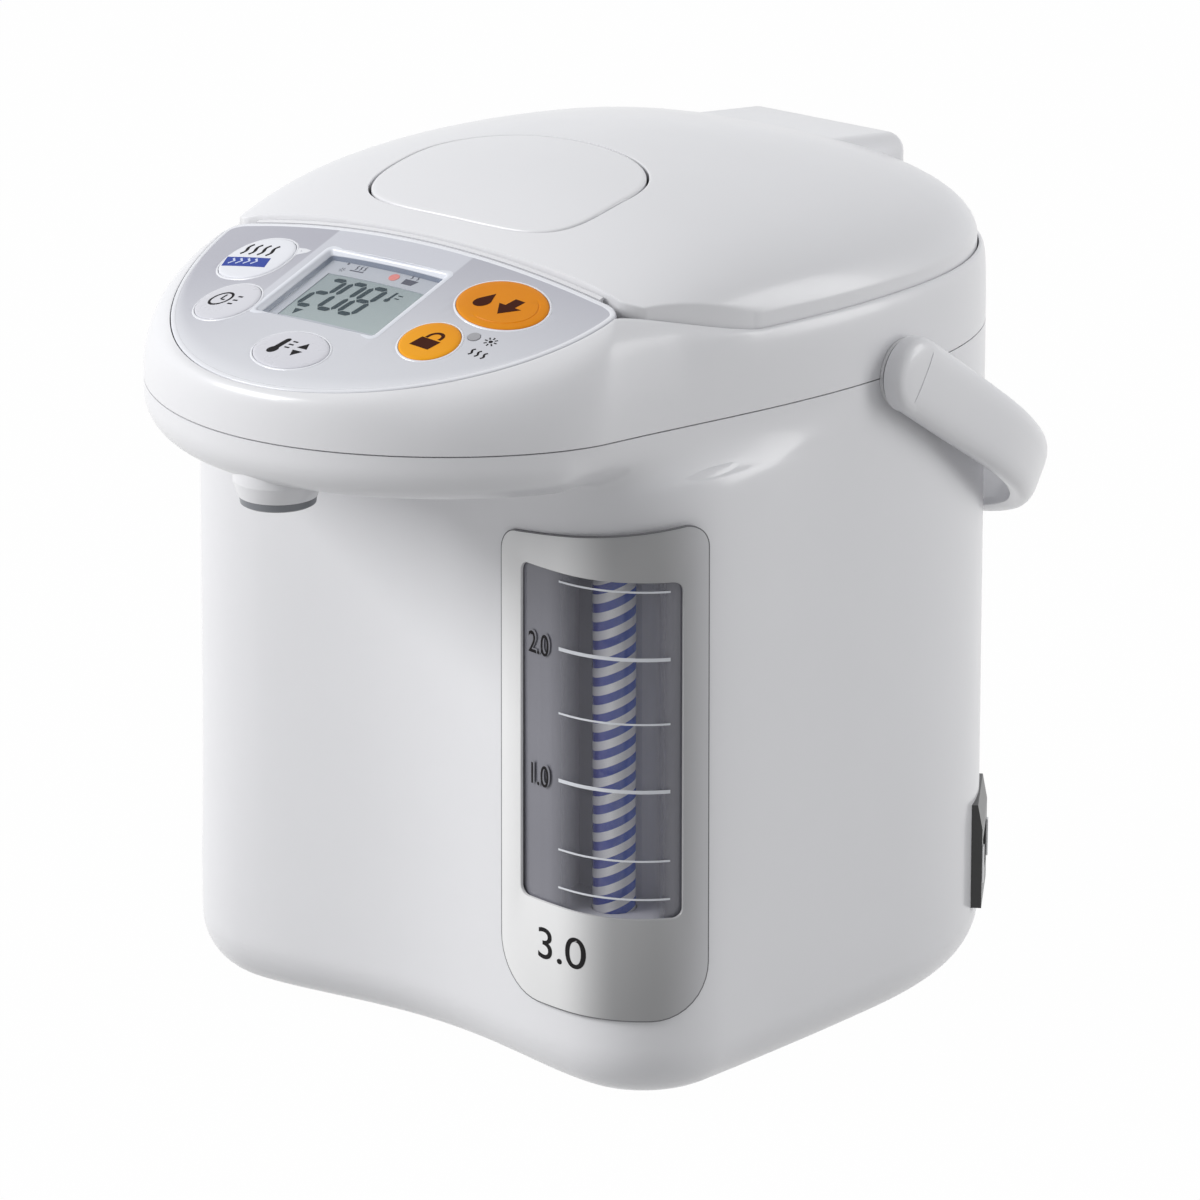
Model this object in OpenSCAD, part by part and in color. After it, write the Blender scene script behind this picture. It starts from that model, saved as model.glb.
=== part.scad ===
// Electric thermo pot, three litres: a countertop boiler with a pump, a spout under a beak,
// a water gauge on the front right corner and a bail handle.
// Origin at table level under the middle of the whole outline; +Z up, the beak points to -Y.
// The sizes below count from a datum a little behind it, under the middle of the lever.

/* [Case] */
// Width of the case at the parting seam
case_w = 206; // [200:1:212]
// From the datum forward to the tip of the beak
nose_reach = 142; // [138:1:146]
// How much deeper the round of the rear is than half the case's width
rear_swell = 0.5; // [0:0.1:1]
// How far behind the datum the case is widest
side_y = 30; // [27:1:33]
// From the datum forward to the flat of the front corners
front_y = 76; // [74:1:78]
// Radius of the front corners, seen from above
corner_r = 33; // [30:1:36]
// How much narrower the case is at the front corners, per side
corner_in = 2; // [1:0.5:3]
// Depth of the hollow down the middle of the front
scoop = 8; // [4:1:10]
// Radius of the rounding round the base
base_round = 19; // [16:1:20]
// How far each wall leans out from the seam to the base
case_draft = 1; // [0.5:0.1:1.5]
// Thickness of the plastic walls
wall = 2.5; // [2.2:0.1:2.8]
// Height of the rubber feet
foot_h = 2.5; // [2:0.1:3]
// Radius of the rubber feet
foot_r = 8; // [6:1:10]

/* [Head] */
// Height of the parting seam between case and head
seam_z = 210; // [207:1:213]
// Height of the gap between head and lid along the sides
lid_edge_z = 234; // [232:1:236]
// Height of the lid's crown
crown_z = 269; // [267:1:272]
// How far behind the datum the crown is highest
crown_y = 8; // [6:1:12]
// Half width of the head where the beak's nose meets its sides
nose_w = 86; // [84:1:88]
// From the datum forward to where the nose meets the sides
nose_y = 78; // [76:1:80]
// Height of the beak below the seam
beak_depth = 15; // [14:0.5:16]
// Radius of the beak's lower lip
lip_r = 11; // [10:0.5:12]
// From the datum forward to the lid's front edge
lid_front = 58.7; // [58.3:0.1:59.1]
// From the rear wall in to the lid's rear edge
lid_inset = 10.5; // [10:0.5:12]
// Height of the lid hinge's axis
hinge_z = 246; // [245.5:0.5:247]
// Width of the visible gap between head and lid
lid_gap = 0.5; // [0.4:0.1:0.7]

/* [Panel] */
// Slope of the control panel
panel_tilt = 19.4; // [18.4:0.2:20.4]
// From the datum forward to the middle of the control panel
panel_y = 90; // [89:0.5:91]
// Height of the middle of the control panel
panel_z = 242.1; // [241.5:0.1:242.7]
// Half width of the control panel
panel_w = 77; // [76:0.5:78]
// From the panel's middle down the slope to its front edge
panel_down = 51; // [50:0.2:52]
// From the panel's middle up the slope to its back edge
panel_up = 30.5; // [30.1:0.1:30.9]
// Sideways crown of the panel, as drop at 100 mm from the middle
panel_crown = 12.5; // [11.5:0.1:13.5]
// Thickness of the panel plate
plate_t = 1.2; // [1:0.1:1.6]
// Height of the key caps above the panel plate
key_rise = 0.6; // [0.4:0.1:0.8]
// Travel of the keys
key_travel = 0.8; // [0.6:0.1:0.9]

/* [Gauge] */
// Distance along the wall from the front middle to the frame's near edge
frame_s = 40; // [38:1:42]
// Width of the gauge frame, along the wall
frame_w = 71; // [69:1:73]
// Height of the frame's lower edge
frame_low = 31; // [29:1:33]
// Height of the frame's upper edge at its near corner
frame_top = 175; // [173:1:177]
// Extra height of the frame's upper edge at its far corner
frame_rise = 8; // [6:1:9]
// Width of the frame's rail at the sides
rail_w = 9; // [8:0.5:10]
// Height of the water window's lower edge
glass_low = 63; // [62:1:66]
// Height of the water window's upper edge
glass_top = 166.5; // [164:0.5:168]
// Radius of the glass gauge tube
tube_r = 6.5; // [6:0.1:7]

/* [Container] */
// From the side of the case in to the water container's inner face
tank_room = 16; // [15:0.5:18]
// Height of the container's floor
tank_floor = 60; // [58:1:62]
// Height of the container's rim
tank_top = 198; // [196:1:200]
// Thickness of the container's steel
tank_t = 0.8; // [0.6:0.1:1]

/* [Handle] */
// From the datum back to the handle's pivot
pivot_y = 36; // [34:1:38]
// Width of the handle's strap
strap_w = 23; // [21:1:25]
// Thickness of the handle's strap
strap_t = 7; // [6:0.5:8]
// Gap between the case and the strap's inner face
strap_gap = 2; // [1.6:0.1:2.6]
// Room between the rear wall and the stowed crossbar
handle_room = 9; // [8.5:0.5:12]
// Radius of the handle's bends, at the middle of the strap
handle_bend = 84; // [80:1:88]
// Angle of the stowed handle below the horizontal
handle_rest = 33; // [31:1:35]
// Radius of the handle's pivot studs
stud_r = 4.5; // [4:0.1:4.8]

/* [Inlet] */
// Distance along the wall from the front middle to the middle of the power inlet
inlet_s = 263; // [254:1:272]
// Width of the power inlet
inlet_w = 30; // [28:1:34]
// Height of the power inlet's lower edge
inlet_low = 24; // [23:1:27]
// Height of the power inlet
inlet_h = 34; // [32:1:36]

/* [Spout] */
// From the datum forward to the middle of the nozzle
nozzle_y = 125; // [123:1:126]
// Radius of the nozzle at its shoulder
nozzle_r = 13.2; // [12.6:0.2:13.6]
// Height of the nozzle's mouth
nozzle_z = 186.5; // [185:0.5:188]
// Bore of the nozzle
nozzle_bore = 5.5; // [5:0.1:6]

/* [Hidden] */

$fn = 64;
eps = 0.05;              // clearance between pieces that are fixed together
run_fit = 0.05;          // radial clearance of a running fit
cut = 1;                 // how far a cutter reaches past what it cuts

far = 400;               // longer than anything that a plain cutter goes through

half_w = case_w / 2;
rear_reach = side_y + half_w + rear_swell;   // from the datum back to the rear wall
lid_rear = rear_reach - lid_inset;
tank_r = half_w - tank_room;
// From the pivot to the outer face of the crossbar
handle_reach = (rear_reach - pivot_y) / cos(handle_rest) + strap_t + handle_room;
n_front = 12;            // points along the front face, from its middle to a corner
n_corner = 7;            // points round a front corner
n_side = 6;              // points along a side
n_rear = 14;             // points round the rear, from a side to the middle
rear_power = 2.52;       // squareness of the rear, 2 is an ellipse
z_base = foot_h;

function ramp(x) = let (t = min(1, max(0, x))) t * t * (3 - 2 * t);
function mix(a, b, t) = a + (b - a) * t;
function unit(v) = v / norm(v);
function bezier(a, b, c, d, t) =
    a * pow(1 - t, 3) + b * 3 * t * pow(1 - t, 2) + c * 3 * t * t * (1 - t) + d * pow(t, 3);

// ---- outlines, as half loops from the front middle round the right side to the rear middle ----

corner_y = corner_r - front_y;
side_tilt = atan(2 * corner_in / (side_y - corner_y));
corner_mid = [half_w - corner_in - corner_r * cos(side_tilt), corner_y + corner_r * sin(side_tilt)];

function rear_half() = [for (i = [1 : n_rear]) let (a = 90 * i / n_rear)
    [half_w * pow(abs(cos(a)), 2 / rear_power), side_y + (rear_reach - side_y) * pow(sin(a), 2 / rear_power)]];

// The case below the beak: a hollowed front, round corners, slightly bowed sides
function case_half() = concat(
    [for (i = [0 : n_front - 1]) let (t = i / n_front)
        [corner_mid.x * t, corner_mid.y - corner_r + scoop * pow(1 - t * t, 2)]],
    [for (i = [0 : n_corner - 1]) let (a = mix(-90, -side_tilt, i / n_corner))
        corner_mid + corner_r * [cos(a), sin(a)]],
    [for (i = [0 : n_side]) let (t = 1 - i / n_side)
        [half_w - corner_in * t * t, mix(side_y, corner_y, t)]],
    rear_half());

// The head: a broad round nose that runs into the sides
function head_half() = concat(
    [for (i = [0 : n_front - 1])
        bezier([0, -nose_reach], [nose_w / 2, -nose_reach], [nose_w - 5, -nose_y - 28],
               [nose_w, -nose_y], i / n_front)],
    [for (i = [0 : n_corner + n_side])
        bezier([nose_w, -nose_y], [nose_w + 6, -nose_y + 34], [half_w, side_y - 40],
               [half_w, side_y], i / (n_corner + n_side))],
    rear_half());

function whole(h) = concat(h, [for (i = [len(h) - 2 : -1 : 1]) [-h[i].x, h[i].y]]);
function outward(p, i) = let (n = len(p), t = p[(i + 1) % n] - p[(i + n - 1) % n]) unit([t.y, -t.x]);
function inset(p, d) = [for (i = [0 : len(p) - 1]) p[i] - outward(p, i) * d];
function at_z(p, z) = [for (q = p) [q.x, q.y, z]];

case_line = whole(case_half());
head_line = whole(head_half());
n_ring = len(case_line);

// ---- skins: a list of equal rings, joined into one closed solid ----

function ring_faces(n, a, b) = [for (i = [0 : n - 1]) let (j = (i + 1) % n)
    each [[a * n + i, b * n + i, b * n + j], [a * n + i, b * n + j, a * n + j]]];

// Rings that close on themselves, such as an outer skin followed by its inner skin
module loop_skin(rings) {
    n = len(rings[0]);
    k = len(rings);
    polyhedron(points = [for (r = rings) each r],
               faces = [for (i = [0 : k - 1]) each ring_faces(n, i, (i + 1) % k)], convexity = 10);
}

// Rings with a flat fan at each end
module capped_skin(rings) {
    n = len(rings[0]);
    k = len(rings);
    first = rings[0];
    last = rings[k - 1];
    polyhedron(
        points = concat([for (r = rings) each r], [centre(first), centre(last)]),
        faces = concat(
            [for (i = [0 : k - 2]) each ring_faces(n, i, i + 1)],
            [for (i = [0 : n - 1]) [n * k, i, (i + 1) % n]],
            [for (i = [0 : n - 1]) let (o = n * (k - 1)) [n * k + 1, o + (i + 1) % n, o + i]]),
        convexity = 10);
}
function centre(p, i = 0, s = [0, 0, 0]) = i == len(p) ? s / len(p) : centre(p, i + 1, s + p[i]);

// A round pipe, hollow, along a path of points
function path_dir(p, i) = unit(p[min(i + 1, len(p) - 1)] - p[max(i - 1, 0)]);
function pipe_ring(p, i, r, sides) =
    let (d = path_dir(p, i), side = abs(d.z) > 0.95 ? [0, 1, 0] : [0, 0, 1],
         u = unit(cross(side, d)), v = cross(d, u))
    [for (k = [0 : sides - 1]) p[i] + r * (u * cos(-360 * k / sides) + v * sin(-360 * k / sides))];
function rounded_path(p, r, n = 4) = concat([p[0]],
    [for (i = [1 : len(p) - 2]) let (a = p[i] + r * unit(p[i - 1] - p[i]), b = p[i] + r * unit(p[i + 1] - p[i]))
        each [for (k = [0 : n]) let (t = k / n) a * pow(1 - t, 2) + p[i] * 2 * t * (1 - t) + b * t * t]],
    [p[len(p) - 1]]);
module pipe(path, r, bore, sides = 12) {
    last = len(path) - 1;
    loop_skin(concat([for (i = [0 : last]) pipe_ring(path, i, r, sides)],
                     [for (i = [last : -1 : 0]) pipe_ring(path, i, bore, sides)]));
}

// ---- the case ----

z_under = seam_z - beak_depth;     // underside of the beak
cove_r = 6;                        // hollow fillet where the beak meets the front wall
lean_top = frame_top + frame_rise + 1;  // above the gauge the corner leans in to meet the head
lean_low = 60;                     // along the sides the lean starts lower and is gentler
beak_from = 7;                     // an overhang from this size up counts as beak
beak_full = 20;                    // and from this size up it is all beak

// Path of a wall point from the plain wall up to the seam: [distance out, height]
function beak_path(o, z_low, r_cove, r_lip, z_top) =
    let (k = min(1, o / (r_cove + r_lip + 1)), c = r_cove * k, l = r_lip * k)
    concat(
        [for (a = [0 : 30 : 90]) [c * (1 - cos(a)), z_low - c + c * sin(a)]],
        [for (t = [1 : 2]) [mix(c, o - l, t / 3), z_low]],
        [for (a = [0 : 30 : 90]) [o - l + l * sin(a), z_low + l * (1 - cos(a))]],
        [[o, z_top]]);

function wall_rings(low_line, top_line, z_low, r_cove, r_lip, z_top) =
    let (gap = [for (i = [0 : n_ring - 1]) top_line[i] - low_line[i]],
         start = [for (i = [0 : n_ring - 1])
             mix(lean_top, lean_low, ramp((abs(low_line[i].y - corner_y) < 12 || low_line[i].y < corner_y ? 0
                                           : (low_line[i].y - corner_y - 12) / 25)))],
         paths = [for (g = gap) beak_path(norm(g), z_low, r_cove, r_lip, z_top)],
         steps = len(paths[0]))
    concat(
        [for (z = [lean_low, (lean_low + lean_top) / 2, lean_top]) wall_ring(low_line, gap, start, z, z_top)],
        [for (m = [0 : steps - 1]) [for (i = [0 : n_ring - 1])
            let (o = norm(gap[i]), w = ramp((o - beak_from) / (beak_full - beak_from)),
                 z_side = mix(lean_top + 1, z_top, m / (steps - 1)),
                 f_side = o * ramp((z_side - start[i]) / (z_top - start[i])),
                 z = mix(z_side, paths[i][m][1], w),
                 f = mix(f_side, paths[i][m][0], w),
                 p = low_line[i] + (o > 0.01 ? gap[i] / o : [0, 0]) * f
                     + outward(low_line, i) * case_draft * (1 - z / seam_z))
            [p.x, p.y, z]]]);
function wall_ring(low_line, gap, start, z, z_top) =
    [for (i = [0 : n_ring - 1])
        let (o = norm(gap[i]), w = ramp((o - beak_from) / (beak_full - beak_from)),
             f = (1 - w) * o * ramp((z - start[i]) / (z_top - start[i])),
             p = low_line[i] + (o > 0.01 ? gap[i] / o : [0, 0]) * f
                 + outward(low_line, i) * case_draft * (1 - z / seam_z))
        [p.x, p.y, z]];
function base_rings(line, r, z0) = [for (a = [90 : -18 : 0])
    let (z = z0 + r * (1 - sin(a)))
    [for (i = [0 : n_ring - 1])
        let (p = line[i] - outward(line, i) * (r * (1 - cos(a)) - case_draft * (1 - z / seam_z)))
        [p.x, p.y, z]]];
function reversed(r) = [for (i = [len(r) - 1 : -1 : 0]) r[i]];

case_inner = inset(case_line, wall);
head_inner = inset(head_line, wall);

module body_shell() color("white") difference() {
    loop_skin(concat(
        base_rings(case_line, base_round, z_base),
        wall_rings(case_line, head_line, z_under, cove_r, lip_r, seam_z),
        reversed(wall_rings(case_inner, head_inner, z_under + wall, cove_r + wall, lip_r - wall, seam_z)),
        reversed(base_rings(case_inner, base_round - wall, z_base + wall))));
    gauge_cutter(glass_s0 - glass_lap - 1, glass_s1 + glass_lap + 1, glass_low - glass_lap - 1,
                 glass_top + glass_lap + 1);
    translate([0, -nozzle_y, z_under - cut]) cylinder(r = nozzle_r + eps, h = wall + lip_r + cut);
    pivot_holes();
    on_inlet() translate([-inlet_w / 2 - eps, -inlet_d, inlet_low - eps])
        cube([inlet_w + 2 * eps, 2 * inlet_d, inlet_h + 2 * eps]);
}

// ---- places along the case wall, by distance from the front middle ----

function run(p, i = 0, s = 0) = i == len(p) ? [] :
    let (d = i == 0 ? 0 : norm(p[i] - p[i - 1])) concat([s + d], run(p, i + 1, s + d));
case_run = run(case_half());
run_x = [for (i = [0 : len(case_run) - 1]) [case_run[i], case_half()[i].x]];
run_y = [for (i = [0 : len(case_run) - 1]) [case_run[i], case_half()[i].y]];
normal_x = [for (i = [0 : len(case_run) - 1]) [case_run[i], outward(case_line, i).x]];
normal_y = [for (i = [0 : len(case_run) - 1]) [case_run[i], outward(case_line, i).y]];
function on_wall(s, z, off) =
    let (n = unit([lookup(s, normal_x), lookup(s, normal_y)]), o = off + case_draft * (1 - z / seam_z))
    [lookup(s, run_x) + n.x * o, lookup(s, run_y) + n.y * o, z];

glass_s0 = frame_s + rail_w;
glass_s1 = frame_s + frame_w - rail_w + 1;
glass_lap = 3;           // how far the window reaches behind its frame
glass_t = 1.6;
frame_t = 1;
frame_seat = 0.2;        // the frame lies this far off the wall, on its tape

module gauge_cutter(s0, s1, z0, z1) {
    n = 14;
    out = [for (i = [0 : n]) on_wall(mix(s0, s1, i / n), seam_z, 6)];
    in = [for (i = [n : -1 : 0]) on_wall(mix(s0, s1, i / n), seam_z, -wall - 4)];
    translate([0, 0, z0]) linear_extrude(height = z1 - z0)
        polygon([for (p = concat(out, in)) [p.x, p.y]]);
}

// A rounded four-sided loop in wall coordinates: [distance, height], corner radii from lower left on
function wall_loop(s0, s1, z0, z_left, z_right, r_low, r_top, n_arc = 9, n_edge = 20) =
    let (c = [[s0 + r_low, z0 + r_low, r_low, 180], [s1 - r_low, z0 + r_low, r_low, 270],
              [s1 - r_top, z_right - r_top, r_top, 0], [s0 + r_top, z_left - r_top, r_top, 90]])
    [for (k = [0 : 3]) let (a = c[k], b = c[(k + 1) % 4])
        each concat(
            [for (i = [0 : n_arc]) let (t = a[3] + 90 * i / n_arc) [a[0] + a[2] * cos(t), a[1] + a[2] * sin(t)]],
            [for (i = [1 : n_edge - 1]) let (t0 = a[3] + 90,
                    p = [a[0] + a[2] * cos(t0), a[1] + a[2] * sin(t0)],
                    q = [b[0] + b[2] * cos(b[3]), b[1] + b[2] * sin(b[3])])
                mix(p, q, i / n_edge)])];
function wrap(loop, off) = [for (q = loop) on_wall(q[0], q[1], off)];
frame_loop = wall_loop(frame_s, frame_s + frame_w, frame_low, frame_top, frame_top + frame_rise, 17, 7);
glass_loop = wall_loop(glass_s0, glass_s1, glass_low, glass_top, glass_top, 3, 3);

module gauge_frame() color("silver") loop_skin([
    wrap(frame_loop, frame_seat), wrap(frame_loop, frame_seat + frame_t),
    wrap(glass_loop, frame_seat + frame_t), wrap(glass_loop, frame_seat)]);

// A plate that follows the wall, between two distances and two heights
module wall_plate(s0, s1, z0, z1, off, t, n = 12) {
    front = [for (i = [0 : n]) on_wall(mix(s0, s1, i / n), seam_z, off)];
    back = [for (i = [n : -1 : 0]) on_wall(mix(s0, s1, i / n), seam_z, off - t)];
    translate([0, 0, z0]) linear_extrude(height = z1 - z0)
        polygon([for (p = concat(front, back)) [p.x, p.y]]);
}
module gauge_window() color("lightsteelblue", 0.4)
    wall_plate(glass_s0 - glass_lap, glass_s1 + glass_lap, glass_low - glass_lap, glass_top + glass_lap,
               frame_seat - eps, glass_t);

// The gauge tube stands behind the window, with the striped strip and the back plate behind it
tube_s = (glass_s0 + glass_s1) / 2 + 1;   // just behind the middle of the window
tube_depth = 13;         // from the wall in to the tube's middle
tube_spot = on_wall(tube_s, seam_z, -tube_depth);
back_depth = tube_depth + tube_r + 0.6;
back_t = 1.5;
stripe_w = 14;
stripe_t = 0.4;
module gauge_backplate() color("gray") difference() {
    wall_plate(glass_s0 - glass_lap + 2, glass_s1 + glass_lap, glass_low - glass_lap - 1,
               glass_top + glass_lap + 1, -wall - 1.2, back_depth + back_t - wall - 1.2);
    wall_plate(glass_s0 - glass_lap + 4, glass_s1 + glass_lap - 2, glass_low - glass_lap + 1,
               glass_top + glass_lap - 1, cut, back_depth + cut);
    translate([tube_spot.x, tube_spot.y, 0]) cylinder(r = tube_r + 0.4, h = seam_z);
}
module gauge_stripes() color("royalblue")
    wall_plate(tube_s - stripe_w / 2, tube_s + stripe_w / 2, glass_low - glass_lap + 1 + eps,
               glass_top + glass_lap - 1 - eps, -back_depth + stripe_t, stripe_t - eps, 4);

joint_h = 12;
joint_r = tube_r + 2.5;
joint_low = glass_low - glass_lap - 1 - eps - joint_h;
joint_high = glass_top + glass_lap + 1 + eps;
tube_in = 6;             // how far the tube stands in each rubber joint
module gauge_tube() color("azure", 0.5) translate([tube_spot.x, tube_spot.y, joint_low + joint_h - tube_in])
    difference() {
        cylinder(r = tube_r, h = joint_high - joint_low - joint_h + 2 * tube_in);
        translate([0, 0, -cut]) cylinder(r = tube_r - 1.3, h = seam_z);
    }
module rubber_joint(up) rotate([up ? 0 : 180, 0, 0]) difference() {
    cylinder(r = joint_r, h = joint_h);
    translate([0, 0, -cut]) cylinder(r = tube_r + eps, h = tube_in + cut);
    translate([0, 0, -cut]) cylinder(r = pipe_r - 1.2, h = joint_h + 2 * cut);
    translate([0, 0, tube_in + 1]) cylinder(r = pipe_r + eps, h = joint_h);
}
module gauge_joints() color("dimgray") {
    translate([tube_spot.x, tube_spot.y, joint_high]) rubber_joint(true);
    translate([tube_spot.x, tube_spot.y, joint_low + joint_h]) rubber_joint(false);
}

// ---- base: bottom plate, feet, screws, chassis ----

plate_h = 2;
flange_in = base_round - 5;
base_line = inset(case_line, base_round + 0.5);
feet = [[62, -42], [-62, -42], [56, 92], [-56, 92]];
post_spots = [[66, -18], [-66, -18], [62, 70], [-62, 70]];
post_r = 5;
screw_r = 1.9;
screw_head_r = 3.6;
screw_l = 14;
plate_top = z_base + wall + 0.8 + plate_h;  // top of the flange that lies on the case's inner lip
module bottom_plate() color("whitesmoke") difference() {
    union() {
        translate([0, 0, z_base]) linear_extrude(height = plate_top - z_base) polygon(base_line);
        translate([0, 0, plate_top - plate_h]) linear_extrude(height = plate_h)
            polygon(inset(case_line, flange_in));
    }
    translate([0, 0, z_base + plate_h]) linear_extrude(height = plate_top)
        polygon(inset(case_line, base_round + 3));
    for (p = post_spots) translate([p.x, p.y, z_base - cut]) cylinder(r = screw_r + 0.2, h = plate_top);
}
module rubber_feet() color("dimgray") for (p = feet) translate([p.x, p.y, 0]) {
    cylinder(r = foot_r, h = foot_h - eps);
}
chassis_z = z_base + plate_h + eps;
shield_z = tank_floor - 13;
module chassis() color("gainsboro") difference() {
    union() {
        translate([0, 0, chassis_z]) linear_extrude(height = 2) polygon(inset(case_line, base_round + 3.5));
        for (p = post_spots) translate([p.x, p.y, chassis_z])
            cylinder(r = post_r, h = shield_z - chassis_z - eps);
    }
    translate([drain.x, drain.y, chassis_z - cut]) cylinder(r = motor_r + 0.5, h = 2 + 2 * cut);
    for (p = post_spots) translate([p.x, p.y, chassis_z - cut]) cylinder(r = screw_r, h = screw_l + cut);
}
module base_screws() color("silver") for (p = post_spots) translate([p.x, p.y, 0]) {
    translate([0, 0, z_base - 1.6 - eps]) cylinder(r = screw_head_r, h = 1.6);
    translate([0, 0, z_base - 1.6 - eps]) cylinder(r = screw_r - eps, h = screw_l);
}

// ---- water container and heat ----

drain = [30, 0];         // where the pump draws its water
drain_r = 6;
bend_r = 9;
rim_r = half_w - wall - 4;
module tank_shape(r, floor_z, top_z, bend) rotate_extrude($fn = 96) polygon(concat(
    [[0, floor_z], [r - bend, floor_z]],
    [for (a = [-75 : 15 : 0]) [r - bend + bend * cos(a), floor_z + bend + bend * sin(a)]],
    [[r, top_z], [0, top_z]]));
module inner_container() color("silver") translate([0, side_y, 0]) difference() {
    union() {
        tank_shape(tank_r + tank_t, tank_floor - tank_t, tank_top, bend_r + tank_t);
        translate([0, 0, tank_top - tank_t]) cylinder(r = rim_r, h = tank_t);
    }
    tank_shape(tank_r, tank_floor, tank_top + cut, bend_r);
    translate([drain.x, drain.y - side_y, tank_floor - tank_t - cut]) cylinder(r = drain_r, h = tank_t + 2 * cut);
}
packing_h = 2.5;
module rim_packing() color("silver") translate([0, side_y, tank_top + eps]) difference() {
    cylinder(r = rim_r, h = packing_h);
    translate([0, 0, -cut]) cylinder(r = tank_r + 1, h = packing_h + 2 * cut);
}
collar_low = tank_top + packing_h + 2 * eps;
collar_top = seam_z + 9;
collar_r = half_w - wall - 0.6;
mouth_r = tank_r + 1;
mouth_flare = 5;
module mouth_collar() color("whitesmoke") translate([0, side_y, 0]) rotate_extrude($fn = 96) polygon([
    [mouth_r, collar_low], [rim_r, collar_low], [rim_r, collar_low + 2.5], [mouth_r + 4, collar_low + 2.5],
    [mouth_r + mouth_flare + 2.5, collar_top - 1.8], [collar_r, collar_top - 1.8], [collar_r, collar_top],
    [mouth_r + mouth_flare, collar_top]]);

module heater_plate() color("silver") translate([0, side_y, tank_floor - tank_t - 4 - eps]) difference() {
    cylinder(r = tank_r - bend_r - 4, h = 4);
    translate([drain.x, drain.y - side_y, -cut]) cylinder(r = drain_r + 4, h = 4 + 2 * cut);
    translate([0, 0, -cut]) cylinder(r = 5, h = 4 + 2 * cut);
}
shield_r = tank_r - 2;
module heat_shield() color("silver") translate([0, side_y, shield_z]) difference() {
    union() {
        cylinder(r = shield_r, h = 0.8);
        difference() {
            cylinder(r = shield_r, h = tank_floor - tank_t - eps - shield_z);
            translate([0, 0, -cut]) cylinder(r = shield_r - 0.8, h = tank_floor);
        }
    }
    translate([drain.x, drain.y - side_y, -cut]) cylinder(r = drain_r + 5, h = 20);
}
module thermistor() color("dimgray") translate([0, side_y, shield_z + 0.8 + eps]) {
    cylinder(r = 4, h = tank_floor - tank_t - eps - shield_z - 0.8 - 2 * eps);
}
module thermal_fuse() color("tan") translate([0, side_y, 90]) rotate([0, 0, 25])
    translate([-9, tank_r + tank_t + 0.3, 0]) cube([18, 4, 10]);

// ---- pump and motor, on one upright axis under the drain ----

pump_r = 22;
pump_low = 26;
pump_h = 15;
pump_wall = 2;
pump_pin_r = 1.5;
pipe_r = 5;
module pump_housing() color("whitesmoke", 0.7) translate([drain.x, drain.y, pump_low]) {
    difference() {
        union() {
            cylinder(r = pump_r, h = pump_h);
            translate([0, 0, pump_h - 0.01]) cylinder(r = drain_r + 2, h = 5);
            translate([0, 0, pump_h / 2]) rotate([0, 90, outlet_turn]) cylinder(r = pipe_r + 1.5, h = pump_r + 5);
        }
        translate([0, 0, pump_wall]) cylinder(r = pump_r - pump_wall, h = pump_h - 2 * pump_wall);
        translate([0, 0, pump_h - pump_wall - cut]) cylinder(r = drain_r - 1, h = 20);
        translate([0, 0, pump_h / 2]) rotate([0, 90, outlet_turn]) translate([0, 0, pump_r - pump_wall - 1.5])
            cylinder(r = pipe_r - 1.2, h = 20);
        translate([0, 0, pump_h / 2]) rotate([0, 90, outlet_turn]) translate([0, 0, pump_r + 1])
            cylinder(r = pipe_r + eps, h = 20);
    }
    cylinder(r = pump_pin_r, h = pump_h - pump_wall - 1.5);
}
outlet_turn = atan2(tube_spot.y - drain.y, tube_spot.x - drain.x);
vanes = 6;
module pump_impeller() color("ivory") translate([drain.x, drain.y, pump_low + pump_wall + 0.6]) difference() {
    union() {
        cylinder(r = pump_r - pump_wall - 3, h = 2);
        cylinder(r = 4, h = 8);
        for (i = [0 : vanes - 1]) rotate([0, 0, 360 * i / vanes + 15])
            translate([0, -0.6, 1]) cube([pump_r - pump_wall - 4, 1.2, 6]);
    }
    translate([0, 0, -cut]) cylinder(r = pump_pin_r + run_fit, h = 20);
}
motor_low = chassis_z;
motor_h = pump_low - motor_low - eps;
motor_r = 19;
shaft_r = 1.5;
module motor_case() color("silver") translate([drain.x, drain.y, motor_low]) difference() {
    cylinder(r = motor_r, h = motor_h);
    translate([0, 0, 3]) cylinder(r = motor_r - 1.5, h = motor_h - 4);
    translate([0, 0, 1]) cylinder(r = shaft_r + run_fit, h = motor_h - 2);
}
module motor_rotor() color("goldenrod") translate([drain.x, drain.y, motor_low]) {
    translate([0, 0, 1.2]) cylinder(r = shaft_r, h = motor_h - 2.6);
    translate([0, 0, 4]) cylinder(r = 9, h = motor_h - 11);
    translate([0, 0, motor_h - 5]) cylinder(r = motor_r - 4, h = 3.2);
}
module suction_pipe() color("dimgray") translate([drain.x, drain.y, pump_low + pump_h + 5 + eps]) difference() {
    cylinder(r = drain_r + 2, h = tank_floor - tank_t - eps - pump_low - pump_h - 5 - eps);
    translate([0, 0, -cut]) cylinder(r = drain_r - 1, h = 40);
}
outlet_dir = [cos(outlet_turn), sin(outlet_turn), 0];
outlet_z = pump_low + pump_h / 2;
outlet_start = [drain.x, drain.y, outlet_z] + outlet_dir * (pump_r + 1.2);
riser_end = joint_low + joint_h - tube_in - 1.3;
module riser_pipe() color("whitesmoke") pipe(rounded_path([
        outlet_start, [tube_spot.x, tube_spot.y, outlet_z], [tube_spot.x, tube_spot.y, riser_end]], 10),
    pipe_r - 0.2, pipe_r - 1.4);

// ---- delivery: from the gauge tube's top to the nozzle, through a valve that shuts when the pot tips ----

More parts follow.
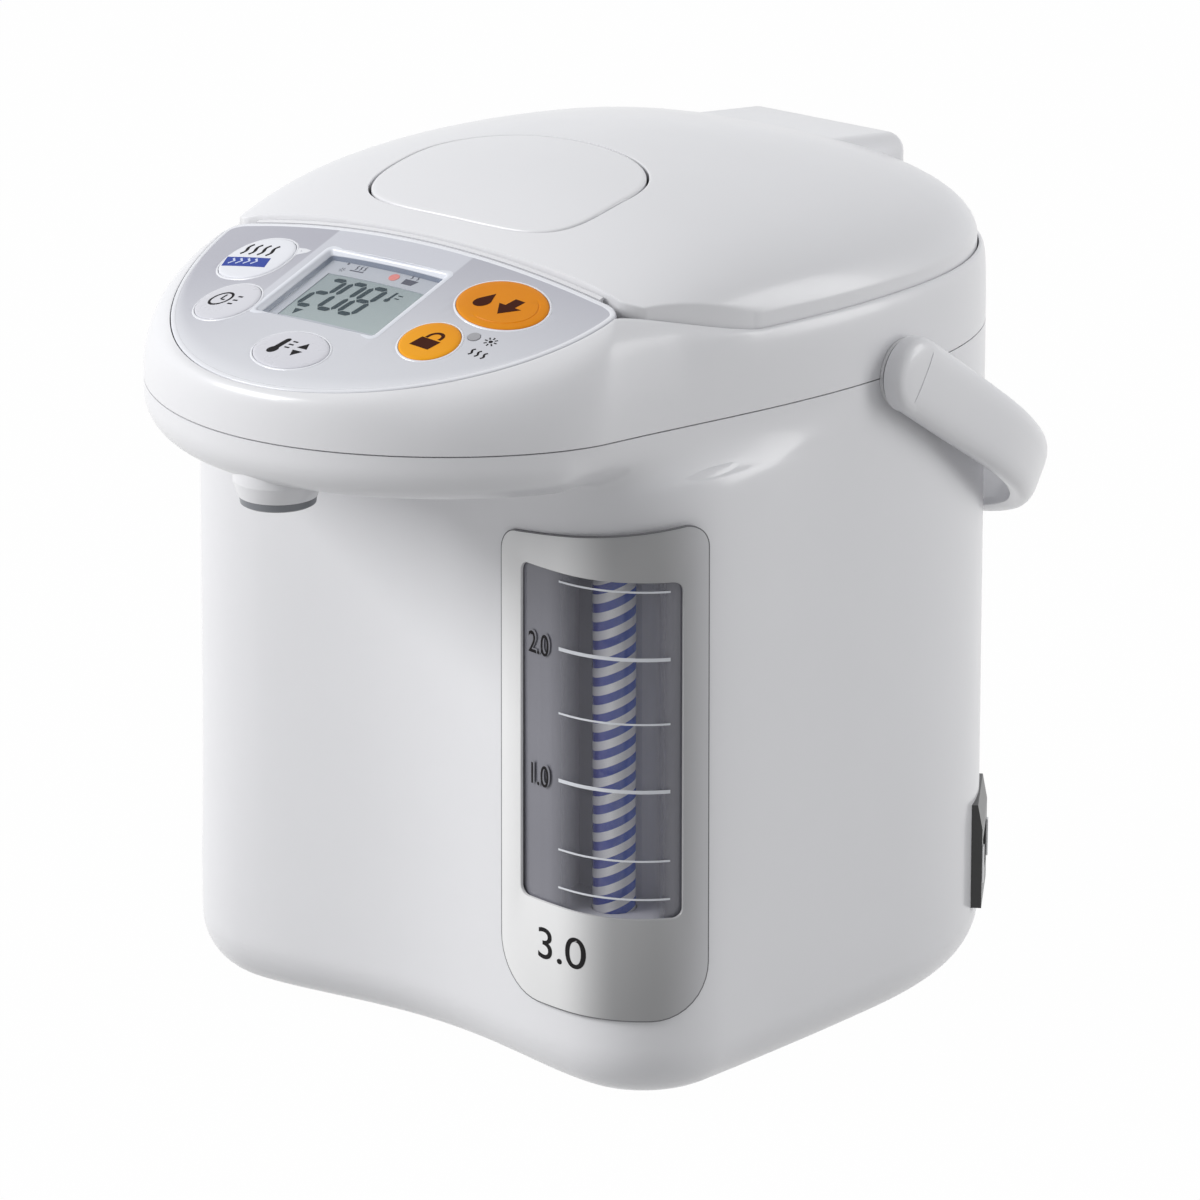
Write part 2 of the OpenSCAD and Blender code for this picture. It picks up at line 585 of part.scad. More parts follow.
valve_spot = [34, -88];
valve_r = 9;
valve_low = z_under + wall + 1;
valve_h = 17;
delivery_start = joint_high + tube_in + 1.3;
delivery_z = z_under + wall + 7;
bend_leg = 8;            // length of a bend's legs in the delivery pipe
module delivery_pipe() color("whitesmoke") {
    pipe(rounded_path([[tube_spot.x, tube_spot.y, delivery_start],
                       [tube_spot.x, tube_spot.y, delivery_z],
                       [valve_spot.x + valve_r * 0.88, valve_spot.y + valve_r * 0.55, delivery_z]], bend_leg),
         pipe_r - 0.2, pipe_r - 1.4);
    pipe(rounded_path([[valve_spot.x - valve_r * 0.9, valve_spot.y - valve_r * 0.9, delivery_z],
                       [0, -nozzle_y, delivery_z], [0, -nozzle_y, delivery_z - bend_leg - 0.2]], bend_leg),
         pipe_r - 0.2, pipe_r - 1.4);
}
module tip_valve() color("gainsboro") translate([valve_spot.x, valve_spot.y, valve_low]) difference() {
    cylinder(r = valve_r, h = valve_h);
    translate([0, 0, 2]) cylinder(r = valve_r - 2, h = valve_h - 4);
}
module valve_ball() color("silver") translate([valve_spot.x, valve_spot.y, valve_low + 2 + 5 + eps]) sphere(r = 5);

nozzle_top = z_under + wall + 1.5;
ring_h = 2.6;
module nozzle() color("white") translate([0, -nozzle_y, 0]) rotate_extrude() polygon([
    [nozzle_bore, nozzle_z + ring_h + eps], [nozzle_r - 1.6, nozzle_z + ring_h + eps],
    [nozzle_r - 0.9, nozzle_z + 4.5], [nozzle_r, z_under - 1], [nozzle_r, nozzle_top],
    [nozzle_bore + 2, nozzle_top], [nozzle_bore, nozzle_top - 2]]);
module nozzle_ring() color("gray") translate([0, -nozzle_y, 0]) rotate_extrude() polygon([
    [nozzle_bore + 0.8, nozzle_z + 0.6], [nozzle_r - 2.9, nozzle_z], [nozzle_r - 2.1, nozzle_z + 0.5],
    [nozzle_r - 1.8, nozzle_z + ring_h], [nozzle_bore + 0.8, nozzle_z + ring_h]]);

// ---- panel coordinates: x across, y up the slope, z out of the panel ----

module on_panel() translate([0, -panel_y, panel_z]) rotate([panel_tilt, 0, 0]) children();
crown_k = panel_crown / 10000;
function panel_point(x, y, off = 0) = let (z = off - crown_k * x * x)
    [x, -panel_y + y * cos(panel_tilt) - z * sin(panel_tilt), panel_z + y * sin(panel_tilt) + z * cos(panel_tilt)];
tip_up = 23.7;           // from the panel's middle up the slope to its side tips
tip_r = 6;               // rounding of the side tips
eye_power = 0.605;       // fullness of the front edge, 0.5 is an ellipse
n_eye = n_front;
// Right half of the panel's edge, from the front middle to the side tip
function eye_front(w, down) = [for (i = [0 : n_eye]) let (u = sin(90 * i / n_eye))
    [w * u, tip_up - (tip_up + down) * pow(max(0, 1 - u * u), eye_power)]];
// and on from the tip to the back middle, which lies level across the crowned panel
function back_edge(x, up) = up - crown_k * x * x * tan(panel_tilt);
function eye_back(w, up) = concat(
    [for (i = [1 : 5]) let (a = 90 * i / 5)
        [w - tip_r + tip_r * cos(a), mix(tip_up, back_edge(w - tip_r, up), sin(a))]],
    [for (i = [1 : 6]) let (x = (w - tip_r) * (1 - i / 6)) [x, back_edge(x, up)]]);
function eye_line(d) = whole(concat(eye_front(panel_w - d, panel_down - d), eye_back(panel_w - d, panel_up - d)));
// A slab that follows the panel's sideways crown and reaches beyond the panel all round
slab_reach = panel_w + 18;
module crowned_slab(top, bottom) {
    xs = [for (i = [0 : 24]) mix(-slab_reach, slab_reach, i / 24)];
    translate([0, slab_reach, 0]) rotate([90, 0, 0]) linear_extrude(height = 2 * slab_reach) polygon(concat(
        [for (x = xs) [x, top - crown_k * x * x]], [for (x = reversed(xs)) [x, bottom - crown_k * x * x]]));
}
module eye_plate(top, bottom, d) intersection() {
    crowned_slab(top, bottom);
    translate([0, 0, -40]) linear_extrude(height = 60) polygon(eye_line(d));
}

// name, middle, half sizes, squareness
keys = [["reboil", [-48.8, 8.6], [12.3, 11.4], 2.2], ["timer", [-39.4, -15.1], [10.8, 9.9], 2],
        ["temp", [1.4, -32], [13, 9.2], 2], ["unlock", [37.7, -11.9], [9.1, 9.4], 2],
        ["dispense", [45.2, 12.3], [14.9, 11.3], 2]];
key_gap = 0.3;
function key_line(k, grow) = [for (i = [0 : 39]) let (a = 360 * i / 40, e = 2 / k[3])
    k[1] + [(k[2].x + grow) * sign(cos(a)) * pow(abs(cos(a)), e),
            (k[2].y + grow) * sign(sin(a)) * pow(abs(sin(a)), e)]];
lcd_low = [-27.5, -17.3];
lcd_size = [48.1, 36.1];
lcd_rim = 1.6;
light_spot = [47.7, -3.9];
light_r = 1.9;

module lcd_hole(grow) translate([lcd_low.x - grow, lcd_low.y - grow, -40])
    cube([lcd_size.x + 2 * grow, lcd_size.y + 2 * grow, 60]);
module key_holes(grow) for (k = keys) translate([0, 0, -40]) linear_extrude(height = 60)
    polygon(key_line(k, grow));
module light_hole(grow) translate([light_spot.x, light_spot.y, -40]) cylinder(r = light_r + grow, h = 60);

module panel_plate() color("silver") on_panel() difference() {
    eye_plate(0, -plate_t, lid_gap / 2);
    key_holes(key_gap);
    lcd_hole(0);
    light_hole(0);
}
deck_t = 2;
deck_low = -plate_t - eps - deck_t;
strip_w = 1.7;           // width of the deck's rim that shows between panel and lid
strip_x = panel_w - 9;
lid_room = 0.8;          // room for the lid's front edge to swing
module back_strip(near, far, top) intersection() {
    crowned_slab(top, deck_low);
    translate([0, 0, -40]) linear_extrude(height = 60) polygon(concat(
        [for (i = [-8 : 8]) [strip_x * i / 8, back_edge(strip_x * i / 8, panel_up) + near]],
        [for (i = [8 : -1 : -8]) [strip_x * i / 8, back_edge(strip_x * i / 8, panel_up) + far]]));
}
module key_deck() color("white") difference() {
    union() {
        on_panel() difference() {
            eye_plate(-plate_t - eps, deck_low, 1.5);
            key_holes(key_gap);
            lcd_hole(0);
            light_hole(0);
        }
        on_panel() back_strip(-3, strip_w, -plate_t - eps);
        on_panel() back_strip(lid_gap / 2, strip_w, 0);
        latch_strike();
    }
    translate([-far / 2, -lid_front - lid_room, 0]) cube(far);
}
// Strike for the lid's hooks, hanging from the rim
module latch_strike() difference() {
    intersection() {
        translate([-hook_x - 8, -lid_front - lid_room - 3.3, hook_z - 3]) cube([2 * hook_x + 16, 2, panel_z]);
        on_panel() crowned_slab(-plate_t - 0.5, -slab_reach);
    }
    for (x = [-1, 1]) translate([x * hook_x - hook_w / 2 - 0.5, -lid_front - 10, hook_z - 0.5])
        cube([hook_w + 1, 12, hook_h + 1.5]);
}
dome_t = 1;
key_foot = deck_low - 0.6;                  // how deep the key stems reach
dome_top = key_foot - key_travel - 0.1;
module dome_sheet() color("gray") on_panel() difference() {
    eye_plate(deck_low - eps, dome_top - dome_t, 8);
    intersection() {
        key_holes(key_gap + 0.5);
        crowned_slab(0, dome_top);
    }
    lcd_hole(1);
    light_hole(0.5);
}
board_top = dome_top - dome_t - eps;
module control_board() color("darkgreen") on_panel() difference() {
    eye_plate(board_top, board_top - 1.6, 9);
    lcd_hole(1);
}
module key_cap(i) on_panel() intersection() {
    crowned_slab(key_rise, key_foot);
    translate([0, 0, -40]) linear_extrude(height = 60) polygon(key_line(keys[i], 0));
}
module key_reboil() color("whitesmoke") key_cap(0);
module key_timer() color("whitesmoke") key_cap(1);
module key_temp() color("whitesmoke") key_cap(2);
module key_unlock() color("orange") key_cap(3);
module key_dispense() color("orange") key_cap(4);
module slow_light() color("lightgray") on_panel() intersection() {
    crowned_slab(0.2, dome_top - dome_t);
    translate([light_spot.x, light_spot.y, -40]) cylinder(r = light_r - eps, h = 60);
}
module lcd_frame() color("silver") on_panel() difference() {
    intersection() {
        crowned_slab(0.3, -3.2);
        lcd_hole(-eps);
    }
    lcd_hole(-lcd_rim);
}
module lcd_lens() color("lightsteelblue", 0.3) on_panel() intersection() {
    crowned_slab(-1, -2.2);
    lcd_hole(-lcd_rim - eps);
}
module lcd_module() color("darkseagreen") on_panel() intersection() {
    crowned_slab(-3.2 - eps, -8);
    lcd_hole(-eps);
}

// ---- head cover ----

lip_low = seam_z + 0.4;  // the head stands this far off the case, which shows as the seam
rear_room = 0.8;         // room behind the lid's rear edge
low_corner = n_front + n_corner;   // ring point where the lid's gap reaches the side
// Inner edge of the head's skin: round the panel's front, down the shoulder, then along the lid
edge_flat = inset(head_line, wall);
shoulder_end = [edge_flat[low_corner].x, edge_flat[low_corner].y, lid_edge_z];
shoulder_dir = unit(edge_flat[low_corner + 1] - edge_flat[low_corner - 1]);
tip_point = panel_point(panel_w, tip_up);
function shoulder(t) = bezier(tip_point, tip_point + [0.6, 5, 0.6],
    shoulder_end - 12 * [shoulder_dir.x, shoulder_dir.y, -0.12], shoulder_end, t);
edge_half = concat(
    [for (i = [0 : n_front - 1]) let (p = eye_front(panel_w, panel_down)[i]) panel_point(p.x, p.y)],
    [for (i = [0 : n_corner - 1]) shoulder(i / n_corner)],
    [for (i = [low_corner : n_ring / 2])
        [edge_flat[i].x, min(edge_flat[i].y, lid_rear + rear_room), lid_edge_z]]);
function whole3(h) = concat(h, [for (i = [len(h) - 2 : -1 : 1]) [-h[i].x, h[i].y, h[i].z]]);
edge_line = whole3(edge_half);

// Skin from the wall's foot up and over to the inner edge: a bezier per ring point
function head_ring(line, edge, t) = [for (i = [0 : n_ring - 1])
    let (a = [line[i].x, line[i].y, lip_low], e = edge[i], rise = e.z - a.z,
         k = ramp((norm([e.x - a.x, e.y - a.y]) - 3) / 5), pull = mix(0.3, 0.45, k),
         b = a + [0, 0, rise * mix(0.97, 0.62, k)],
         c = [mix(a.x, e.x, pull), mix(a.y, e.y, pull), e.z - 0.14 * rise * k])
    bezier(a, b, c, e, t)];
head_steps = [0, 0.2, 0.4, 0.55, 0.7, 0.82, 0.92, 1];
skin_drop = 2.4;
module head_cover() color("white") difference() {
    loop_skin(concat(
        [for (t = head_steps) head_ring(head_line, edge_line, t)],
        [for (t = reversed(head_steps))
            [for (p = head_ring(head_inner, edge_line, t)) p - [0, 0, t > 0 ? skin_drop : 0]]]));
    pivot_holes();
}

// ---- lid ----

function head_half_width(y) =
    lookup(y, [for (i = [0 : n_front + n_corner + n_side]) [head_line[i].y, head_line[i].x]]);
lid_front_z = 253.3;     // height of the lid's top at its front edge
rear_drop = 1;           // how much the crown line falls to the rear wall
lid_swell = 2.36;        // fullness of the lid's cross section
function lid_power(y) = y < crown_y ? mix(1.76, 2.53, ramp((crown_y - y) / (crown_y + lid_front)))
                                    : mix(1.76, 1.42, ramp((y - crown_y) / 58));
function crown_line(y) = y < crown_y
    ? crown_z - (crown_z - lid_front_z) * pow((crown_y - y) / (crown_y + lid_front), 2)
    : crown_z - rear_drop * pow((y - crown_y) / (rear_reach - crown_y), 2);
function lid_share(x, y) = y < side_y ? abs(x) / (head_half_width(y) - wall)
    : pow(pow(abs(x) / (half_w - wall), rear_power) + pow((y - side_y) / (rear_reach - wall - side_y), rear_power),
          1 / rear_power);
function lid_top(x, y) = let (r = min(1, lid_share(x, y)))
    lid_edge_z + (crown_line(y) - lid_edge_z) * pow(max(0, 1 - pow(r, lid_power(y))), 1 / lid_swell);

// Lid outline: straight front, shoulders, sides and rear, lid_gap inside the head's edge
function lid_shoulder(t) = let (p = shoulder(mix(0.3, 1, t))) [p.x - lid_gap * 1.3, p.y + lid_gap * 0.6];
lid_flat = inset(head_line, wall + lid_gap);
lid_half = concat(
    [for (i = [0 : n_front - 1]) [(panel_w - 1) * i / n_front, -lid_front]],
    [for (i = [0 : n_corner - 1]) lid_shoulder(i / n_corner)],
    [for (i = [low_corner : n_ring / 2]) [lid_flat[i].x, min(lid_flat[i].y, lid_rear)]]);
lid_line = whole(lid_half);
lid_inner = inset(lid_line, wall);

// Outline of the lever, on the same rays from its middle as the points of the lid's outline
lever_mid = [0, -20];
lever_w = 42;
lever_half = 29.5;       // from the lever's middle to its front and rear edges
lever_gap = 0.8;
function lever_line(grow) = [for (q = lid_line)
    let (d = q - lever_mid, a = atan2(d.y, d.x), e = d.y < 0 ? 4 : 2.35,
         k = pow(pow(abs(cos(a)) / (lever_w + grow), e) + pow(abs(sin(a)) / (lever_half + grow), e), -1 / e))
    lever_mid + k * [cos(a), sin(a)]];
lever_hole = lever_line(lever_gap);

skirt = 8;               // how far the lid's skirt reaches below its side edge
skirt_z = lid_edge_z - skirt;
function on_lid(p, off) = [p.x, p.y, max(lid_edge_z, lid_top(p.x, p.y)) - off];
function lid_ring(line, t, off) = [for (i = [0 : n_ring - 1]) on_lid(mix(line[i], lever_hole[i], t), off)];
lid_steps = [0, 0.05, 0.12, 0.22, 0.36, 0.55, 0.78, 1];

hinge_in = 2;            // from the lid's rear edge in to the hinge's axis
hinge_y = lid_rear - hinge_in;
hinge_pin_r = 2.2;
knuckle_r = 4.3;
knuckle_w = 30;
lug_w = 6;
lug_gap = 1;             // between the knuckle and each lug
lug_room = 1.8;          // room round each lug for the lid to swing
lug_x = knuckle_w / 2 + lug_gap + lug_w / 2;
pin_l = 2 * lug_x + lug_w;
hump_w = 63;             // housing over the hinge, on the lid's rear
hump_ball = 6;
hump_wall = 2;
hump_front = lid_rear - 37;
hump_rear = lid_rear + 8.5;
hump_top = hinge_z + 12.2;
hump_fall = 3.8;         // how much its top falls to the rear
hump_low = hinge_z - 3;
module hump(d) hull() for (m = [0, 1]) mirror([m, 0, 0]) translate([hump_w / 2 - hump_ball, 0, -hump_ball]) {
    translate([0, hump_front + hump_ball, hump_top]) sphere(r = hump_ball - d, $fn = 24);
    translate([0, hump_rear - hump_ball, hump_top - hump_fall]) sphere(r = hump_ball - d, $fn = 24);
    translate([0, hump_rear - hump_ball, hump_low]) sphere(r = hump_ball - d, $fn = 24);
}
hook_x = 27;
hook_w = 6;
hook_z = skirt_z + 0.2;
hook_h = 3;
module lid_cover() color("white") difference() {
    union() {
        loop_skin(concat([at_z(lid_line, skirt_z)], [for (t = lid_steps) lid_ring(lid_line, t, 0)],
                         [for (t = reversed(lid_steps)) lid_ring(lid_inner, t, wall)], [at_z(lid_inner, skirt_z)]));
        difference() {
            hump(0);
            difference() {
                hump(hump_wall);
                translate([-knuckle_w / 2, hinge_y - 2, hump_low]) cube([knuckle_w, 4, far]);
            }
            translate([-hump_w, 0, hump_low - far]) cube([2 * hump_w, far, far]);
        }
        translate([-knuckle_w / 2, hinge_y, hinge_z]) rotate([0, 90, 0]) cylinder(r = knuckle_r, h = knuckle_w);
    }
    translate([0, hinge_y, hinge_z]) rotate([0, 90, 0])
        cylinder(r = hinge_pin_r + run_fit, h = pin_l + 4, center = true);
    lug_notches();
    for (x = [-1, 1]) translate([x * hook_x - hook_w / 2 - 0.5, -lid_front - cut, hook_z - 0.5])
        cube([hook_w + 1, wall + 3 * cut, hook_h + 1]);
}
module lug_notches() for (x = [-1, 1])
    translate([x * lug_x - lug_w / 2 - 0.6, hinge_y - knuckle_r - lug_room, skirt_z - 10])
        cube([lug_w + 1.2, 30, hinge_z + knuckle_r + lug_room - skirt_z + 10]);

liner_t = 2.5;
plug_r = tank_r - 2;
plug_low = tank_top + packing_h + 6;
module lid_liner() color("whitesmoke") difference() {
    union() {
        translate([0, 0, skirt_z - liner_t - eps]) linear_extrude(height = liner_t) polygon(lid_line);
        translate([0, side_y, plug_low]) difference() {
            cylinder(r = plug_r, h = skirt_z - plug_low - eps - 1);
            translate([0, 0, liner_t]) cylinder(r = plug_r - liner_t, h = skirt_z - plug_low);
        }
    }
    lug_notches();
    translate([0, side_y, plug_low - cut]) cylinder(r = cap_neck + eps, h = liner_t + 2 * cut);
}
gasket_h = 4;
gasket_gap = 0.6;        // from the gasket's lip to the collar
module lid_gasket() color("gray") translate([0, side_y, plug_low - 2]) difference() {
    cylinder(r = mouth_r - gasket_gap + 0.6, h = gasket_h);
    translate([0, 0, 2 - eps]) cylinder(r = plug_r + eps, h = gasket_h);
    translate([0, 0, -cut]) cylinder(r = plug_r - 5, h = gasket_h + 2 * cut);
}
cap_r = 24;
cap_neck = 10;
module steam_cap() color("whitesmoke") translate([0, side_y, plug_low - 3 - eps]) difference() {
    union() {
        cylinder(r = cap_r, h = 3);
        cylinder(r = cap_neck, h = 3 + liner_t + 4);
    }
    for (a = [0 : 45 : 315]) rotate([0, 0, a]) translate([cap_neck - 4, 0, -cut]) cylinder(r = 1.5, h = 20);
}

lever_t = 2.4;
lever_y = -14;           // the lever's axis, across its middle
lever_pin_r = 1.2;
ear_r = 2.4;
lever_z = lid_top(0, lever_y) - 6;
knuckle_x = [6, 19.3];
ear_x = [19.7, 24];
cup_floor = lid_top(0, lever_mid.y) - 17;
cup_wall = 1.5;
cup_gap = lever_gap + 1.4;   // from the lever's edge out to the cup's inner wall
cup_rim = wall + 0.15;       // from the lid's top down to the cup's rim
function lever_ring(k, off) = [for (p = lever_line(0)) on_lid(mix(lever_mid, p, k), off)];
module across(x, r) for (m = [0, 1]) mirror([m, 0, 0]) translate([x[0], lever_y, lever_z]) rotate([0, 90, 0])
    cylinder(r = r, h = x[1] - x[0]);
module lever_bore(fit) translate([0, lever_y, lever_z]) rotate([0, 90, 0])
    cylinder(r = lever_pin_r + fit, h = far, center = true);
module lid_lever() color("white") difference() {
    union() {
        capped_skin(concat([for (k = [0.1, 0.55, 1]) lever_ring(k, lever_t)],
                           [for (k = [1, 0.8, 0.4, 0.1]) lever_ring(k, 0)]));
        across(knuckle_x, ear_r);
        for (m = [0, 1]) mirror([m, 0, 0]) translate([knuckle_x[0], lever_y - 1.5, lever_z])
            cube([knuckle_x[1] - knuckle_x[0], 3, 3.2]);
    }
    lever_bore(run_fit);
}
module lever_pin() color("silver") translate([-ear_x[1], lever_y, lever_z]) rotate([0, 90, 0])
    cylinder(r = lever_pin_r, h = 2 * ear_x[1]);
module lever_cup() color("whitesmoke") difference() {
    union() {
        capped_skin([at_z(lever_line(cup_gap + cup_wall), cup_floor - cup_wall),
            [for (p = lever_line(cup_gap + cup_wall)) on_lid(p, cup_rim)],
            [for (p = lever_line(cup_gap)) on_lid(p, cup_rim)], at_z(lever_line(cup_gap), cup_floor)]);
        across(ear_x, ear_r);
        for (m = [0, 1]) mirror([m, 0, 0]) translate([ear_x[0], lever_y - ear_r, cup_floor - 0.5])
            cube([ear_x[1] - ear_x[0], 2 * ear_r, lever_z - cup_floor + 0.5]);
    }
    lever_bore(eps);
}
latch_y = -lid_front - 1.6;      // the hooks' tips
module latch_hooks() color("whitesmoke") translate([0, 0, hook_z]) {
    for (x = [-1, 1]) translate([x * hook_x - hook_w / 2, latch_y, 0]) cube([hook_w, 20, hook_h]);
    translate([-hook_x - hook_w / 2, latch_y + 12, 0]) cube([2 * hook_x + hook_w, 20, hook_h]);
}

// ---- hinge: lugs on the collar, a pin, and the knuckle inside the lid's housing ----

lug_base_t = 2;
lug_base_d = 5;
lug_neck = [hinge_y - 1, collar_top + 14];
lug_neck_r = 2.6;
module lug_rod(y, z, r) translate([-lug_w / 2, y, z]) rotate([0, 90, 0]) cylinder(r = r, h = lug_w, $fn = 32);
module hinge_bracket() color("silver") difference() {
    union() {
        for (x = [-1, 1]) translate([x * lug_x, 0, 0]) {
            hull() {
                lug_rod(hinge_y, hinge_z, knuckle_r);
                lug_rod(lug_neck.x, lug_neck.y, lug_neck_r);
            }
            hull() {
                lug_rod(lug_neck.x, lug_neck.y, lug_neck_r);
                translate([-lug_w / 2, hinge_y, collar_top + eps]) cube([lug_w, lug_base_d, lug_base_t]);
            }
        }
        intersection() {
            translate([-lug_x - lug_w / 2, hinge_y, collar_top + eps])
                cube([2 * lug_x + lug_w, 20, lug_base_t]);
            translate([0, side_y, 0]) cylinder(r = collar_r - 0.4, h = seam_z * 2);
        }
    }
    translate([-pin_l, hinge_y, hinge_z]) rotate([0, 90, 0]) cylinder(r = hinge_pin_r + eps, h = 2 * pin_l);
}
module hinge_pin() color("silver") translate([-pin_l / 2, hinge_y, hinge_z]) rotate([0, 90, 0])
    cylinder(r = hinge_pin_r, h = pin_l);

// ---- handle: a strap bent into a bail, on studs that turn in bushes at the seam ----

strap_x = half_w + strap_gap + strap_t / 2;
strap_y = handle_reach - strap_t / 2;
cross_w = 19;            // width of the strap at the crossbar
bend_steps = 8;
function strap_half() = concat(
    [for (t = [0 : 2]) [-strap_x, (strap_y - handle_bend) * t / 3]],
    [for (i = [0 : bend_steps]) let (a = 90 * i / bend_steps)
        [-strap_x + handle_bend * (1 - cos(a)), strap_y - handle_bend * (1 - sin(a))]]);
function mirrored_path(h) = concat(h, [for (i = [len(h) - 1 : -1 : 0]) if (abs(h[i].x) > 0.01) [-h[i].x, h[i].y]]);
strap_path = mirrored_path(strap_half());
function strap_dir(i) = unit(strap_path[min(i + 1, len(strap_path) - 1)] - strap_path[max(i - 1, 0)]);
// Cross section, [share of thickness outward, share of width]: crowned outside, a shallow channel inside
strap_section = [[-0.5, -0.44], [-0.5, -0.34], [-0.2, -0.31], [-0.2, 0.31], [-0.5, 0.34], [-0.5, 0.44],
                 [-0.3, 0.5], [0.1, 0.5], [0.36, 0.42], [0.5, 0.22],
                 [0.5, -0.22], [0.36, -0.42], [0.1, -0.5], [-0.3, -0.5]];
function strap_ring(i) = let (p = strap_path[i], d = strap_dir(i), out = [-d.y, d.x],
        w = mix(strap_w, cross_w, ramp(p.y / strap_y)))
    [for (q = strap_section) let (r = p + out * q[0] * strap_t) [r.x, r.y, q[1] * w]];
module on_pivot() translate([0, pivot_y, seam_z]) rotate([-handle_rest, 0, 0]) children();
module handle() color("white") on_pivot() {
    capped_skin([for (i = [len(strap_path) - 1 : -1 : 0]) strap_ring(i)]);
    for (m = [0, 1]) mirror([m, 0, 0]) rotate([0, 90, 0]) {
        translate([0, 0, strap_x - strap_t / 2]) cylinder(r = strap_w / 2, h = strap_t - 0.6);
        translate([0, 0, half_w - wall - 3]) cylinder(r = stud_r, h = wall + 3 + strap_gap + strap_t / 2);
    }
}
bush_r = stud_r + 1.7;
bush_flange = stud_r + 6;
module pivot_holes() translate([0, pivot_y, seam_z]) rotate([0, 90, 0])
    cylinder(r = bush_r + eps, h = far, center = true);
module handle_pivots() color("gainsboro") for (m = [0, 1]) mirror([m, 0, 0])
    translate([0, pivot_y, seam_z]) rotate([0, 90, 0]) difference() {
        union() {
            translate([0, 0, half_w - wall - 3.5]) cylinder(r = bush_r, h = wall + 4);
            translate([0, 0, half_w + 0.1]) cylinder(r = bush_flange, h = 1);
        }
        translate([0, 0, half_w - 20]) cylinder(r = stud_r + run_fit, h = 40);
    }

// The stowed crossbar is the rearmost of all, the beak's tip the foremost; the origin lies midway
handle_back = pivot_y + max([for (q = strap_section)
    (strap_y + q[0] * strap_t) * cos(handle_rest) + q[1] * cross_w * sin(handle_rest)]);
module placed() translate([0, (nose_reach - handle_back) / 2, 0]) children();

// ---- power inlet and board ----

inlet_spot = on_wall(inlet_s, inlet_low, 0);
inlet_dir = [lookup(inlet_s, normal_x), lookup(inlet_s, normal_y)];
inlet_proud = 2;
inlet_d = 16;
inlet_wall = 2.5;
socket_d = 9;
module on_inlet() translate([inlet_spot.x, inlet_spot.y, 0]) rotate([0, 0, atan2(inlet_dir.y, inlet_dir.x) - 90])
    children();
module plug_receptacle() color("black") on_inlet() difference() {
    translate([-inlet_w / 2, 0, inlet_low]) rotate([90, 0, 90]) linear_extrude(height = inlet_w) polygon([
        [-inlet_d + inlet_proud, 0], [inlet_proud, 0], [inlet_proud, inlet_h - 8], [inlet_proud - 1.5, inlet_h],
        [-inlet_d + inlet_proud, inlet_h]]);
    translate([-inlet_w / 2 + 5, inlet_proud - socket_d, inlet_low + 7]) cube([inlet_w - 10, socket_d + cut, 14]);
}
pin_x = 5;
module receptacle_pins() color("gold") on_inlet() for (x = [-1, 1])
    translate([x * pin_x, inlet_proud - socket_d + eps, inlet_low + 14]) rotate([-90, 0, 0])
        cylinder(r = 1.2, h = 6);
module magnet_plate() color("silver") on_inlet() for (x = [-1, 1])
    translate([x * (inlet_w / 2 - 2.5) - 1.2, inlet_proud + eps, inlet_low + 8]) cube([2.4, 0.5, 12]);

board_spot = [-48, 50];
board_size = [58, 38];
module power_board() color("darkgreen") translate([board_spot.x, board_spot.y, chassis_z + 2 + eps]) {
    for (x = [4, board_size.x - 4], y = [4, board_size.y - 4]) translate([x, y, 0]) cylinder(r = 2.5, h = 6);
    translate([0, 0, 6 - eps]) cube([board_size.x, board_size.y, 1.6]);
    translate([8, 8, 7.5]) cube([20, 16, 14]);
    translate([40, 12, 7.5]) cylinder(r = 6, h = 16);
    translate([40, 27, 7.5]) cylinder(r = 4, h = 12);
}

placed() body_shell();
placed() bottom_plate();
placed() rubber_feet();
placed() base_screws();
placed() chassis();
placed() gauge_frame();
placed() gauge_window();
placed() gauge_backplate();
placed() gauge_stripes();
placed() gauge_tube();
placed() gauge_joints();
placed() inner_container();
placed() rim_packing();
placed() mouth_collar();
placed() heater_plate();
placed() heat_shield();
placed() thermistor();
placed() thermal_fuse();
placed() pump_housing();
placed() pump_impeller();
placed() motor_case();
placed() motor_rotor();
placed() suction_pipe();
placed() riser_pipe();
placed() delivery_pipe();
placed() tip_valve();
placed() valve_ball();
placed() nozzle();
placed() nozzle_ring();
placed() head_cover();
placed() key_deck();
placed() panel_plate();
placed() lcd_frame();
placed() lcd_lens();
placed() lcd_module();
placed() dome_sheet();
placed() control_board();
placed() slow_light();
placed() key_reboil();
placed() key_timer();
placed() key_temp();
placed() key_unlock();
placed() key_dispense();
placed() lid_cover();
placed() lid_liner();
placed() lid_gasket();
placed() steam_cap();
placed() lever_cup();
placed() lid_lever();
placed() lever_pin();
placed() latch_hooks();
placed() hinge_bracket();
placed() hinge_pin();
placed() handle();
placed() handle_pivots();
placed() plug_receptacle();
placed() receptacle_pins();
placed() magnet_plate();
placed() power_board();
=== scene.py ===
import math

